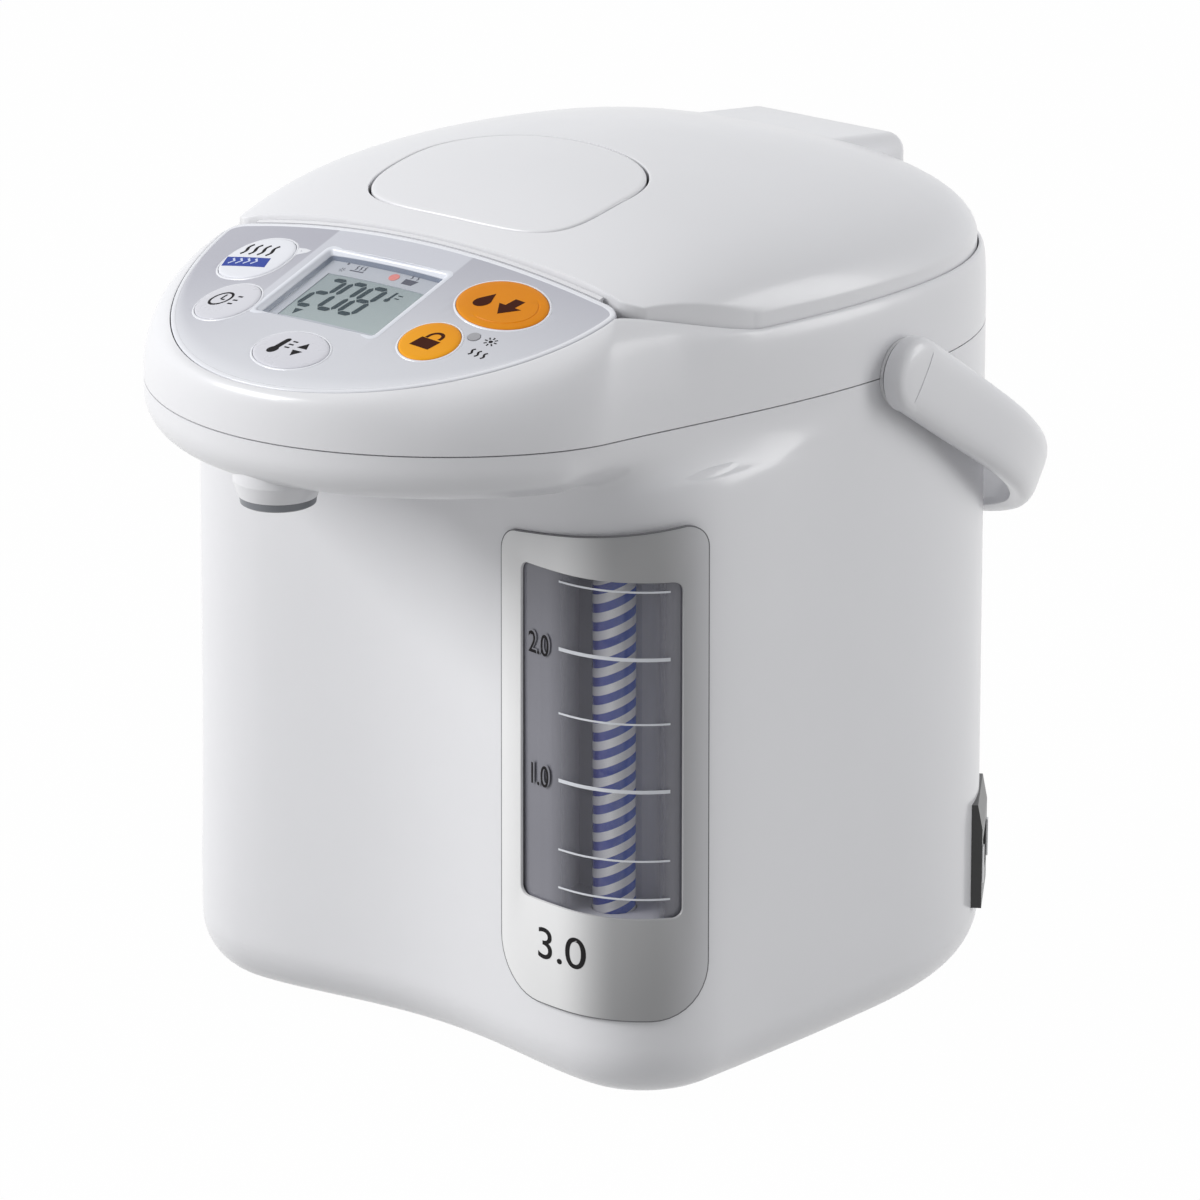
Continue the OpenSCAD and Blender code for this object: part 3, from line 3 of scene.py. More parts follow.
import bmesh
import bpy
import numpy as np
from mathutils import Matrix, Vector


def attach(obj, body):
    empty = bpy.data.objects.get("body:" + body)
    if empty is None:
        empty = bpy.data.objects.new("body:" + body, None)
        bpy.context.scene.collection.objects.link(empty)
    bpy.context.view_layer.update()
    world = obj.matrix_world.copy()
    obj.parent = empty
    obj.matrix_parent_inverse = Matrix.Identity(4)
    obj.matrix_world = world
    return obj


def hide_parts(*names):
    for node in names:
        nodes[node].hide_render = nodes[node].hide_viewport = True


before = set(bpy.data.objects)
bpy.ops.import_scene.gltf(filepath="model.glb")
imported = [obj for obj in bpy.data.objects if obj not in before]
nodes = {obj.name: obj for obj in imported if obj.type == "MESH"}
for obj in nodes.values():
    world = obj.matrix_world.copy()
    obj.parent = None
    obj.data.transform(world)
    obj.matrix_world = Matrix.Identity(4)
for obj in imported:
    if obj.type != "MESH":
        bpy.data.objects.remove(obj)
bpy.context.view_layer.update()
scene = bpy.context.scene
scene.view_settings.view_transform = "Standard"

# ---- camera: a long lens to the front right of the pot, looking a little down on it ----
# Everything is drawn in millimetres from a datum under the lever, mid_y in front of the origin.
mid_y = 4.222
camera = bpy.data.objects.new("camera", bpy.data.cameras.new("camera"))
scene.collection.objects.link(camera)
camera.data.sensor_width = 36
camera.data.lens = 195.56
camera.location = Vector((1245.97, -1438.84 - mid_y, 740.46)) / 1000
camera_aim = Vector((9.18, 7.85 - mid_y, 126.11)) / 1000
camera.rotation_euler = (camera_aim - camera.location).to_track_quat("-Z", "Y").to_euler()
scene.camera = camera


# ---- studio: a white floor that keeps a soft shadow, a white surround and three soft lamps ----
# The surround is white to the camera and in reflections, and dimmer as a light.
class Wire:
    """A socket's output; sums and products of wires add their Math nodes."""

    def __init__(self, finish, socket):
        self.finish, self.socket = finish, socket

    def math(self, operation, *rest):
        return self.finish.maths(operation, self, *rest)

    def __add__(self, other):
        return self.math("ADD", other)

    def __sub__(self, other):
        return self.math("SUBTRACT", other)

    def __mul__(self, other):
        return self.math("MULTIPLY", other)

    def __truediv__(self, other):
        return self.math("DIVIDE", other)

    def __mod__(self, other):
        return self.math("FLOORED_MODULO", other)

    def __abs__(self):
        return self.math("ABSOLUTE")

    def __rsub__(self, other):
        return self.finish.maths("SUBTRACT", other, self)

    __radd__, __rmul__ = __add__, __mul__

    def ramp(self, low, high):
        """0 at low, 1 at high, smooth between."""
        return self.finish.node("ShaderNodeMapRange", {"interpolation_type": "SMOOTHSTEP", "clamp": True},
                                i0=self, i1=low, i2=high)


class Finish:
    """A surface finish under construction, as a node material."""

    def __init__(self, name, colour, shader="ShaderNodeBsdfPrincipled", **sockets):
        self.material = bpy.data.materials.new(name)
        self.material.use_nodes = True
        self.tree = self.material.node_tree
        self.tree.nodes.clear()
        self.out = self.tree.nodes.new("ShaderNodeOutputMaterial")
        self.surface = self.tree.nodes.new(shader)
        self.tree.links.new(self.surface.outputs[0], self.out.inputs[0])
        self.surface.inputs[0].default_value = self.material.diffuse_color = (*colour, 1)
        for socket, value in sockets.items():
            self.surface.inputs[socket.replace("_", " ")].default_value = value

    def plug(self, socket, value):
        if isinstance(value, Wire):
            self.tree.links.new(value.socket, socket)
        elif isinstance(value, tuple) and len(value) == 3 and len(socket.default_value) == 4:
            socket.default_value = (*value, 1)
        else:
            socket.default_value = value

    def node(self, kind, settings=None, output=0, **sockets):
        """Adds a node: its settings first, then its sockets, by name or as i0, i1 and so on."""
        new = self.tree.nodes.new(kind)
        for key, value in (settings or {}).items():
            setattr(new, key, value)
        for key, value in sockets.items():
            index = int(key[1:]) if key[0] == "i" and key[1:].isdigit() else key
            self.plug(new.inputs[index], value)
        return Wire(self, new.outputs[output])

    def maths(self, operation, *values):
        """A Math node on values, which are wires or numbers."""
        places = {f"i{k}": value for k, value in enumerate(values)}
        return self.node("ShaderNodeMath", {"operation": operation}, **places)

    def place(self):
        """Where a point of the piece lies at rest, in millimetres: as one vector, and as x, y, z."""
        spot = self.node("ShaderNodeTexCoord", output="Object")
        spread = self.node("ShaderNodeVectorMath", {"operation": "SCALE"}, i0=spot, Scale=1000.0)
        split = self.tree.nodes.new("ShaderNodeSeparateXYZ")
        self.plug(split.inputs[0], spread)
        return spread, *[Wire(self, o) for o in split.outputs]

    def noise(self, spot, scale, detail=2.0):
        return self.node("ShaderNodeTexNoise", Vector=spot, Scale=scale, Detail=detail)

    def blend(self, share, first, second):
        """first where share is 0, second where it is 1; both colours."""
        return self.node("ShaderNodeMix", {"data_type": "RGBA"}, output=2, i0=share, i6=first, i7=second)

    def feed(self, **sockets):
        for socket, value in sockets.items():
            self.plug(self.surface.inputs[socket.replace("_", " ")], value)
        return self

    def bump(self, height, strength, distance):
        normal = self.node("ShaderNodeBump", Height=height, Strength=strength, Distance=distance)
        return self.feed(Normal=normal)


def seen_by_camera(finish):
    """1 for the camera, for mirror rays and for what is seen through glass."""
    rays = finish.tree.nodes.new("ShaderNodeLightPath")
    camera_ray, glossy_ray, clear_ray = [Wire(finish, rays.outputs[k]) for k in
                                         ("Is Camera Ray", "Is Glossy Ray", "Is Transmission Ray")]
    return camera_ray.math("MAXIMUM", glossy_ray.math("MAXIMUM", clear_ray))


def grid_mesh(name, points, faces, smooth=40):
    """A mesh from points in millimetres; edges sharper than smooth degrees stay crisp."""
    mesh = bpy.data.meshes.new(name)
    points = np.asarray(points, float) - (0, mid_y, 0)
    mesh.from_pydata((points / 1000).tolist(), [], [list(f) for f in faces])
    mesh.polygons.foreach_set("use_smooth", [True] * len(mesh.polygons))
    mesh.set_sharp_from_angle(angle=math.radians(smooth))
    mesh.validate()
    thing = bpy.data.objects.new(name, mesh)
    scene.collection.objects.link(thing)
    return thing


floor_paint = Finish("studio_floor", (0.5, 0.5, 0.5), "ShaderNodeBsdfDiffuse")
floor_glow = floor_paint.node("ShaderNodeEmission", Color=(1, 1, 1), Strength=1.0)
floor_mix = floor_paint.node("ShaderNodeMixShader", i0=seen_by_camera(floor_paint) * 0.99,
                             i1=Wire(floor_paint, floor_paint.surface.outputs[0]), i2=floor_glow)
floor_paint.tree.links.new(floor_mix.socket, floor_paint.out.inputs[0])
floor_half, floor_drop = 9000, 0.3
floor = grid_mesh("studio_floor", [(x * floor_half, y * floor_half, -floor_drop)
                                   for x, y in ((-1, -1), (1, -1), (1, 1), (-1, 1))], [(0, 1, 2, 3)])
floor.data.materials.append(floor_paint.material)

scene.world = bpy.data.worlds.new("surround")
scene.world.use_nodes = True
surround = scene.world.node_tree
paper = surround.nodes["Background"]
paper.inputs["Color"].default_value = (0.97, 0.98, 1, 1)
rays = surround.nodes.new("ShaderNodeLightPath")
brightness = surround.nodes.new("ShaderNodeMapRange")
brightness.inputs["To Min"].default_value = 0.35
brightness.inputs["To Max"].default_value = 1.0
mirror_or_camera = surround.nodes.new("ShaderNodeMath")
mirror_or_camera.operation = "MAXIMUM"
surround.links.new(rays.outputs["Is Camera Ray"], mirror_or_camera.inputs[0])
surround.links.new(rays.outputs["Is Glossy Ray"], mirror_or_camera.inputs[1])
surround.links.new(mirror_or_camera.outputs[0], brightness.inputs["Value"])
surround.links.new(brightness.outputs[0], paper.inputs["Strength"])

for lamp_name, power, size, spot, aim in (
        ("key_lamp", 59, (1.6, 1.2), (-1.5, -1.9, 1.5), (0, 0, 0.15)),
        ("side_lamp", 20, (0.9, 1.8), (1.8, 1.4, 0.9), (0, 0, 0.15)),
        ("crown_lamp", 3, (1.5, 1.5), (0.9, 0.1, 2.1), (0, 0, 0.2))):
    light = bpy.data.lights.new(lamp_name, "AREA")
    light.energy, light.shape = power, "RECTANGLE"
    light.size, light.size_y = size
    lamp = bpy.data.objects.new(lamp_name, light)
    lamp.location = spot
    lamp.rotation_euler = (Vector(aim) - Vector(spot)).to_track_quat("-Z", "Y").to_euler()
    scene.collection.objects.link(lamp)


# ---- case: one moulding in glossy white, hollow down the front, with the beak's underside ----
# It stands on the base plate and ends at the parting seam; holes take gauge, nozzle, pivots and inlet.
case_w, nose_reach, side_y, front_y, corner_r, corner_in, scoop = 206, 142, 30, 76, 33, 2, 8
half_w = case_w / 2
rear_reach = side_y + half_w + 0.5
rear_power = 2.52
base_round, case_draft, wall, base_z = 19, 1, 2.5, 2.5
seam_z, beak_depth, lip_r, cove_r = 210, 15, 11, 6
nose_w, nose_y = 86, 78
under_z = seam_z - beak_depth
plain_z, lean_low, lean_top = 40, 60, 184   # the wall is plain below, then leans out to the seam
lean_from, lean_run = 12, 25                # how far behind the corner it starts to lean lower down
beak_from, beak_run = 7, 13                 # overhangs between which the lean turns into the beak
n_front, n_corner, n_side, n_rear = 48, 28, 24, 56


def ramp(x):
    t = np.clip(x, 0, 1)
    return t * t * (3 - 2 * t)


def mix(a, b, t):
    return a + (b - a) * t


def bezier(a, b, c, d, t):
    """Points of a Bezier curve; t is one number or a column of them."""
    a, b, c, d = (np.asarray(v, float) for v in (a, b, c, d))
    return a * (1 - t) ** 3 + 3 * b * t * (1 - t) ** 2 + 3 * c * t * t * (1 - t) + d * t ** 3


corner_y = corner_r - front_y
side_tilt = math.degrees(math.atan(2 * corner_in / (side_y - corner_y)))
corner_mid = np.array([half_w - corner_in - corner_r * math.cos(math.radians(side_tilt)),
                       corner_y + corner_r * math.sin(math.radians(side_tilt))])


def rear_half():
    a = np.radians(90 * np.arange(1, n_rear + 1) / n_rear)
    return np.c_[half_w * np.abs(np.cos(a)) ** (2 / rear_power),
                 side_y + (rear_reach - side_y) * np.sin(a) ** (2 / rear_power)]


def case_half():
    """Half the foot's outline, seen from above: scooped front, corner, side and rear."""
    t = np.arange(n_front) / n_front
    front = np.c_[corner_mid[0] * t, corner_mid[1] - corner_r + scoop * (1 - t * t) ** 2]
    a = np.radians(mix(-90, -side_tilt, np.arange(n_corner) / n_corner))
    corner = corner_mid + corner_r * np.c_[np.cos(a), np.sin(a)]
    t = 1 - np.arange(n_side + 1) / n_side
    side = np.c_[half_w - corner_in * t * t, mix(side_y, corner_y, t)]
    return np.vstack([front, corner, side, rear_half()])


def head_half():
    """Half the seam's outline, seen from above: beak, side and rear."""
    nose = bezier((0, -nose_reach), (nose_w / 2, -nose_reach), (nose_w - 5, -nose_y - 28), (nose_w, -nose_y),
                  np.arange(n_front)[:, None] / n_front)
    side = bezier((nose_w, -nose_y), (nose_w + 6, -nose_y + 34), (half_w, side_y - 40), (half_w, side_y),
                  np.linspace(0, 1, n_corner + n_side + 1)[:, None])
    return np.vstack([nose, side, rear_half()])


def whole(half):
    """A half outline and its mirror image, as one loop seen from above, anticlockwise."""
    mirror = half[-2:0:-1].copy()
    mirror[:, 0] *= -1
    return np.vstack([half, mirror])


def outward(loop):
    """Which way is out, at each point of a loop seen from above."""
    t = np.roll(loop[:, :2], -1, 0) - np.roll(loop[:, :2], 1, 0)
    n = np.c_[t[:, 1], -t[:, 0]]
    return n / np.linalg.norm(n, axis=1)[:, None]


def inset(loop, d):
    return loop - outward(loop) * d


def at_z(loop, z):
    return np.c_[loop[:, :2], np.broadcast_to(z, len(loop))]


def beak_path(o, u, low_z, cove, lip, top_z):
    """Step u, 0 to 10, up a wall that ends o out from its foot: distance out and height."""
    k = np.minimum(1, o / (cove + lip + 1))
    c, r = cove * k, lip * k
    if u <= 3:
        a = math.radians(30 * u)
        return c * (1 - math.cos(a)), low_z - c + c * math.sin(a)
    if u <= 6:
        return mix(c, o - r, (u - 3) / 3), np.full_like(o, low_z)
    a = math.radians(30 * (min(u, 9) - 6))
    out, z = o - r + r * math.sin(a), low_z + r * (1 - math.cos(a))
    return out, mix(z, top_z, max(0, u - 9))


def wall_rings(low, top, low_z, cove, lip, steps):
    """Rings up the wall, from its plain part to the seam, for a foot line and a seam line."""
    gap = top - low
    o = np.linalg.norm(gap, axis=1)
    way = gap / np.maximum(o, 0.01)[:, None]
    face = outward(low)
    start = mix(lean_top, lean_low, ramp((low[:, 1] - corner_y - lean_from) / lean_run))
    w = ramp((o - beak_from) / beak_run)
    rings = []
    for z in np.linspace(plain_z, lean_top, 13):
        f = (1 - w) * o * ramp((z - start) / (seam_z - start))
        rings.append(at_z(low + way * f[:, None] + face * case_draft * (1 - z / seam_z), z))
    for u in steps:
        side = mix(lean_top + 1, seam_z, u / 10)
        out, up = beak_path(o, u, low_z, cove, lip, seam_z)
        z = mix(side, up, w)
        f = mix(o * ramp((side - start) / (seam_z - start)), out, w)
        rings.append(at_z(low + way * f[:, None] + face * (case_draft * (1 - z / seam_z))[:, None], z))
    return rings


def ease(rings, low, top, rounds=60, pull=0.7):
    """Irons the rings where the beak runs out into the side, at overhangs from 3 to 30."""
    gap = np.linalg.norm(top - low, axis=1)
    band = ramp((gap - 3) / 5) * (1 - ramp((gap - 22) / 8))
    grid = np.array(rings)
    for _ in range(rounds):
        around = grid[:-2] + grid[2:] + np.roll(grid, 1, axis=1)[1:-1] + np.roll(grid, -1, axis=1)[1:-1]
        grid[1:-1] += pull * band[:, None] * (around / 4 - grid[1:-1])
    return list(grid)


def base_rings(line, r, z0, step):
    """Rings round the case's lower edge, a quarter turn of radius r."""
    rings = []
    for a in np.radians(np.arange(90, -1, -step)):
        z = z0 + r * (1 - math.sin(a))
        rings.append(at_z(line - outward(line) * (r * (1 - math.cos(a)) - case_draft * (1 - z / seam_z)), z))
    return rings


def skin(name, rings, ends="closed", smooth=40):
    """A mesh of rings joined one to the next; its ends are closed, or looped one to the other."""
    n, k = len(rings[0]), len(rings)
    i = np.arange(n)
    j = (i + 1) % n
    faces = []
    for a in range(k if ends == "looped" else k - 1):
        b = (a + 1) % k
        faces += np.c_[a * n + i, a * n + j, b * n + j, b * n + i].tolist()
    if ends == "closed":
        faces += [list(range(n))[::-1], list(range(n * (k - 1), n * k))]
    return grid_mesh(name, np.vstack(rings), faces, smooth)


def fit(piece, finish, body, slot, *stands_for):
    """Gives a piece its finish, the CAD body it rides on and the nodes it stands for."""
    piece.data.materials.clear()
    piece.data.materials.append(finish.material)
    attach(piece, body)
    if stands_for:
        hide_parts(*stands_for)
    return piece


def carve(piece, *cutters):
    """Cuts holes in a piece; the cutters are used up."""
    for cutter in cutters:
        cut = piece.modifiers.new("cut", "BOOLEAN")
        cut.operation, cut.solver, cut.object = "DIFFERENCE", "EXACT", cutter
    mesh = bpy.data.meshes.new_from_object(piece.evaluated_get(bpy.context.evaluated_depsgraph_get()))
    piece.modifiers.clear()
    piece.data = mesh
    work = bmesh.new()
    work.from_mesh(mesh)
    bmesh.ops.dissolve_degenerate(work, dist=1e-6, edges=work.edges)
    work.to_mesh(mesh)
    work.free()
    mesh.set_sharp_from_angle(angle=math.radians(40))
    for cutter in cutters:
        bpy.data.objects.remove(cutter)
    return piece


def rod(name, start, end, r, sides=64):
    """A round bar between two points; used for cutters and knuckles."""
    start, end = np.asarray(start, float), np.asarray(end, float)
    axis = (end - start) / np.linalg.norm(end - start)
    side = np.cross(axis, (0, 0, 1) if abs(axis[2]) < 0.9 else (1, 0, 0))
    side /= np.linalg.norm(side)
    up = np.cross(axis, side)
    a = np.radians(np.arange(sides) * 360 / sides)
    ring = np.outer(np.cos(a), side) + np.outer(np.sin(a), up)
    return skin(name, [start + ring * r, end + ring * r])


def join(piece, *others):
    """Adds other pieces' meshes to a piece and removes them."""
    work = bmesh.new()
    for thing in (piece, *others):
        work.from_mesh(thing.data)
    work.to_mesh(piece.data)
    work.free()
    piece.data.polygons.foreach_set("use_smooth", [True] * len(piece.data.polygons))
    piece.data.set_sharp_from_angle(angle=math.radians(40))
    for thing in others:
        bpy.data.objects.remove(thing)
    return piece


def slab(name, outline, low, high):
    """A flat plate with an outline seen from above, between two heights."""
    outline = np.asarray(outline, float)
    return skin(name, [at_z(outline, low), at_z(outline, high)])


def moulded(name, colour, rough=0.3, coat=0.25, grain=0.15, mottle=0.012, **sockets):
    """Moulded plastic: faint mottling, slightly uneven gloss and a fine skin."""
    finish = Finish(name, colour, Roughness=rough, IOR=1.49, Coat_Weight=coat, Coat_Roughness=0.12, **sockets)
    spot = finish.place()[0]
    soft = finish.noise(spot, 0.035, 3.0)
    finish.feed(Base_Color=finish.blend(soft, tuple(c * (1 - mottle) for c in colour),
                                        tuple(min(1, c * (1 + mottle)) for c in colour)),
                Roughness=finish.noise(spot, 0.11, 3.0) * 0.08 + (rough - 0.04))
    return finish.bump(finish.noise(spot, 2.4, 2.0), grain, 0.00004)


case_line, head_line = whole(case_half()), whole(head_half())
case_in, head_in = inset(case_line, wall), inset(head_line, wall)
white_gloss = moulded("white_gloss_plastic", (0.80, 0.80, 0.82))
pale_satin = moulded("pale_satin_plastic", (0.72, 0.72, 0.73), 0.45, 0)

beak_steps = np.linspace(0, 10, 41)
case_shell = skin(
    "case_shell", base_rings(case_line, base_round, base_z, 6)
    + ease(wall_rings(case_line, head_line, under_z, cove_r, lip_r, beak_steps), case_line, head_line)
    + wall_rings(case_in, head_in, under_z + wall, cove_r + wall, lip_r - wall, beak_steps[::4])[::-1]
    + base_rings(case_in, base_round - wall, base_z + wall, 15)[::-1], "looped")

# Places along the wall, by distance from the front middle
case_path = case_half()
path_run = np.r_[0, np.cumsum(np.linalg.norm(np.diff(case_path, axis=0), axis=1))]
path_face = outward(case_line)[:len(case_path)]


def alike(*values):
    """Numbers and lists of numbers, all brought to one length."""
    return np.broadcast_arrays(*[np.asarray(v, float) for v in values])


def along(table, s):
    """A table's two columns, such as the path's points or faces, at distances s along the wall."""
    return np.c_[np.interp(s, path_run, table[:, 0]), np.interp(s, path_run, table[:, 1])]


def on_wall(s, z, off):
    """Points at distances s along the wall and heights z, off the wall by off."""
    s, z, off = alike(s, z, off)
    place, face = along(case_path, s), along(path_face, s)
    face /= np.linalg.norm(face, axis=1)[:, None]
    place = place + face * (off + case_draft * (1 - z / seam_z))[:, None]
    return np.c_[place, z]


frame_s, frame_w, rail_w, frame_low, frame_top, frame_rise = 40, 71, 9, 31, 175, 8
glass_s0, glass_s1, glass_low, glass_top = frame_s + rail_w, frame_s + frame_w - rail_w + 1, 63, 166.5
glass_lap, lap_room, cut_room = 3, 1, 0.05
nozzle_y, nozzle_r = 125, 13.2
pivot_y, stud_r = 36, 4.5
bush_r = stud_r + 1.7
inlet_s, inlet_w, inlet_low, inlet_h, inlet_d = 263, 30, 24, 34, 16
inlet_spot = on_wall([inlet_s], [inlet_low], [0])[0]
inlet_face = along(path_face, [inlet_s])[0]
inlet_face /= np.linalg.norm(inlet_face)
inlet_side = np.array([inlet_face[1], -inlet_face[0]])


def on_inlet(points):
    """Inlet coordinates, across, out of the wall and up, to the pot's."""
    p = np.asarray(points, float)
    flat = inlet_spot[:2] - np.outer(p[:, 0], inlet_side) + np.outer(p[:, 1], inlet_face)
    return np.c_[flat, p[:, 2]]


def pivot_cut():
    """A bar through the pot at the handle's pivots, which drills both holes."""
    return rod("pivot_cut", (-200, pivot_y, seam_z), (200, pivot_y, seam_z), bush_r + cut_room)


cut_s = np.linspace(glass_s0 - glass_lap - lap_room, glass_s1 + glass_lap + lap_room, 40)
window_cut = np.vstack([on_wall(cut_s, seam_z, 6), on_wall(cut_s[::-1], seam_z, -wall - 4)])[:, :2]
inlet_box = on_inlet([(x, y, 0) for x, y in ((-inlet_w / 2, -inlet_d), (inlet_w / 2, -inlet_d),
                                             (inlet_w / 2, inlet_d), (-inlet_w / 2, inlet_d))])
carve(case_shell,
      slab("window_cut", window_cut, glass_low - glass_lap - lap_room, glass_top + glass_lap + lap_room),
      rod("nozzle_cut", (0, -nozzle_y, under_z - 2), (0, -nozzle_y, seam_z - 1), nozzle_r + cut_room),
      pivot_cut(), slab("inlet_cut", inlet_box, inlet_low - cut_room, inlet_low + inlet_h + cut_room))
fit(case_shell, white_gloss, "root", "white_plastic", "body_shell")


# ---- head cover: the glossy white band above the seam, rolled over to panel, shoulders and lid ----
# A second moulding; it clips to the case and leaves a thin dark seam.
lip_low, lid_edge_z, skin_drop = seam_z + 0.4, 234, 2.4
panel_tilt, panel_y, panel_z, panel_w, panel_down, panel_up = math.radians(19.4), 90, 242.1, 77, 51, 30.5
crown_k = 12.5 / 10000
tip_up, tip_r, eye_power, plate_t = 23.7, 6, 0.605, 1.2
lid_front, lid_rear, rear_room = 58.7, rear_reach - 10.5, 0.8


def on_panel(x, y, off=0.0):
    """Panel coordinates, across, up the slope and out of the panel, to the pot's."""
    x, y, off = alike(x, y, off)
    z = off - crown_k * x * x
    return np.stack([x, -panel_y + y * math.cos(panel_tilt) - z * math.sin(panel_tilt),
                     panel_z + y * math.sin(panel_tilt) + z * math.cos(panel_tilt)], -1)


def eye_front(w, down, count):
    """The panel's front edge, from its middle to its side tip."""
    u = np.sin(np.radians(90 * np.arange(count + 1) / count))
    return np.c_[w * u, tip_up - (tip_up + down) * np.maximum(0, 1 - u * u) ** eye_power]


def back_edge(x, up):
    """The panel's straight rear edge, dropped with the crown."""
    return up - crown_k * x * x * math.tan(panel_tilt)


def eye_line(d):
    """The panel's outline, d inside its edge, as a closed loop in panel coordinates."""
    w, down, up = panel_w - d, panel_down - d, panel_up - d
    a = np.radians(90 * np.arange(1, 13) / 12)
    tip = np.c_[w - tip_r + tip_r * np.cos(a), mix(tip_up, back_edge(w - tip_r, up), np.sin(a))]
    x = (w - tip_r) * (1 - np.arange(1, 25) / 24)
    return whole(np.vstack([eye_front(w, down, n_front), tip, np.c_[x, back_edge(x, up)]]))


low_corner = n_front + n_corner
edge_flat = inset(head_line, wall)
shoulder_end = np.r_[edge_flat[low_corner], lid_edge_z]
shoulder_dir = edge_flat[low_corner + 1] - edge_flat[low_corner - 1]
shoulder_dir = shoulder_dir / np.linalg.norm(shoulder_dir)
tip_point = on_panel(panel_w, tip_up)
tip_pull, end_pull = (0.6, 5, 0.6), 12 * np.r_[shoulder_dir, -0.12]


def shoulder(t):
    """The head's edge from the panel's tip to the lid's straight side."""
    return bezier(tip_point, tip_point + tip_pull, shoulder_end - end_pull, shoulder_end, t)


front_edge = eye_front(panel_w, panel_down, n_front)[:n_front]
rear_edge = edge_flat[low_corner:len(case_path)]
rear_edge = np.c_[rear_edge[:, 0], np.minimum(rear_edge[:, 1], lid_rear + rear_room)]
edge_line = whole(np.vstack([on_panel(front_edge[:, 0], front_edge[:, 1]),
                             shoulder(np.arange(n_corner)[:, None] / n_corner), at_z(rear_edge, lid_edge_z)]))


# Where the band is narrow it stands straight, and where it is wide it rolls over
narrow_band, band_run = 3, 5
pull_in, pull_up, roll_drop = (0.3, 0.45), (0.97, 0.62), 0.14


def head_ring(line, t):
    """Step t, 0 to 1, from the seam up and over to the head's inner edge."""
    a = at_z(line, lip_low)
    rise = edge_line[:, 2] - lip_low
    k = ramp((np.linalg.norm(edge_line[:, :2] - line, axis=1) - narrow_band) / band_run)
    inward, upward = mix(*pull_in, k)[:, None], mix(*pull_up, k)
    b = a + np.c_[0 * rise, 0 * rise, rise * upward]
    c = np.c_[mix(a[:, :2], edge_line[:, :2], inward), edge_line[:, 2] - roll_drop * rise * k]
    return bezier(a, b, c, edge_line, t)


head_rings = [head_ring(head_line, t) for t in np.linspace(0, 0.985, 28)]
under_rings = [head_ring(head_in, t) - (0, 0, skin_drop if t else 0) for t in np.linspace(0, 1, 9)]
last = head_ring(head_line, 1)
head_rings += [mix(last, under_rings[-1], 0.06), mix(last, under_rings[-1], 0.3)]
head_cover = carve(skin("head_cover", head_rings + under_rings[::-1], "looped", 50), pivot_cut())
fit(head_cover, white_gloss, "root", "white_plastic", "head_cover")


# ---- lid: a crowned white cover with a hinge housing at its rear, hinged behind the collar ----
# Its skirt drops inside the head's edge all round and shows as a thin dark gap.
crown_z, crown_y, lid_gap, lid_front_z, rear_drop, lid_swell = 269, 8, 0.5, 253.3, 1, 2.36
dome_front, dome_mid, dome_rear, dome_run = 2.53, 1.76, 1.42, 58   # how square the lid is across
lever_mid, lever_w, lever_half, lever_gap, lever_t = np.array([0, -20.0]), 42, 29.5, 0.8, 2.4


def lid_top(x, y):
    """Height of the lid's outer face over a place, seen from above."""
    x, y = np.asarray(x, float), np.asarray(y, float)
    ahead, behind = (crown_y - y) / (crown_y + lid_front), (y - crown_y) / (rear_reach - crown_y)
    power = np.where(y < crown_y, mix(dome_mid, dome_front, ramp(ahead)),
                     mix(dome_mid, dome_rear, ramp((y - crown_y) / dome_run)))
    crown = crown_z - np.where(y < crown_y, (crown_z - lid_front_z) * ahead ** 2, rear_drop * behind ** 2)
    half = head_half()[:n_front + n_corner + n_side + 1]
    width = np.interp(y, half[:, 1], half[:, 0])
    back = np.maximum(0, y - side_y) / (rear_reach - wall - side_y)
    share = np.where(y < side_y, np.abs(x) / (width - wall),
                     ((np.abs(x) / (half_w - wall)) ** rear_power + back ** rear_power) ** (1 / rear_power))
    share = np.minimum(1, share)
    return lid_edge_z + (crown - lid_edge_z) * np.maximum(0, 1 - share ** power) ** (1 / lid_swell)


def on_lid(p, off):
    return at_z(p, np.maximum(lid_edge_z, lid_top(p[:, 0], p[:, 1])) - off)


lid_flat = inset(head_line, wall + lid_gap)[low_corner:len(case_path)]
lid_front_x = (panel_w - 1) * np.arange(n_front) / n_front
lid_line = whole(np.vstack([
    np.c_[lid_front_x, np.full(n_front, -lid_front)],
    shoulder(mix(0.3, 1, np.arange(n_corner)[:, None] / n_corner))[:, :2] + (-lid_gap * 1.3, lid_gap * 0.6),
    np.c_[lid_flat[:, 0], np.minimum(lid_flat[:, 1], lid_rear)]]))
lid_in = inset(lid_line, wall)


def lever_line(grow):
    """The lever's outline, grown by grow, on rays towards the lid's outline."""
    d = lid_line - lever_mid
    a = np.arctan2(d[:, 1], d[:, 0])
    e = np.where(d[:, 1] < 0, 4, 2.35)
    c, s = np.cos(a), np.sin(a)
    k = ((np.abs(c) / (lever_w + grow)) ** e + (np.abs(s) / (lever_half + grow)) ** e) ** (-1 / e)
    return lever_mid + k[:, None] * np.c_[c, s]


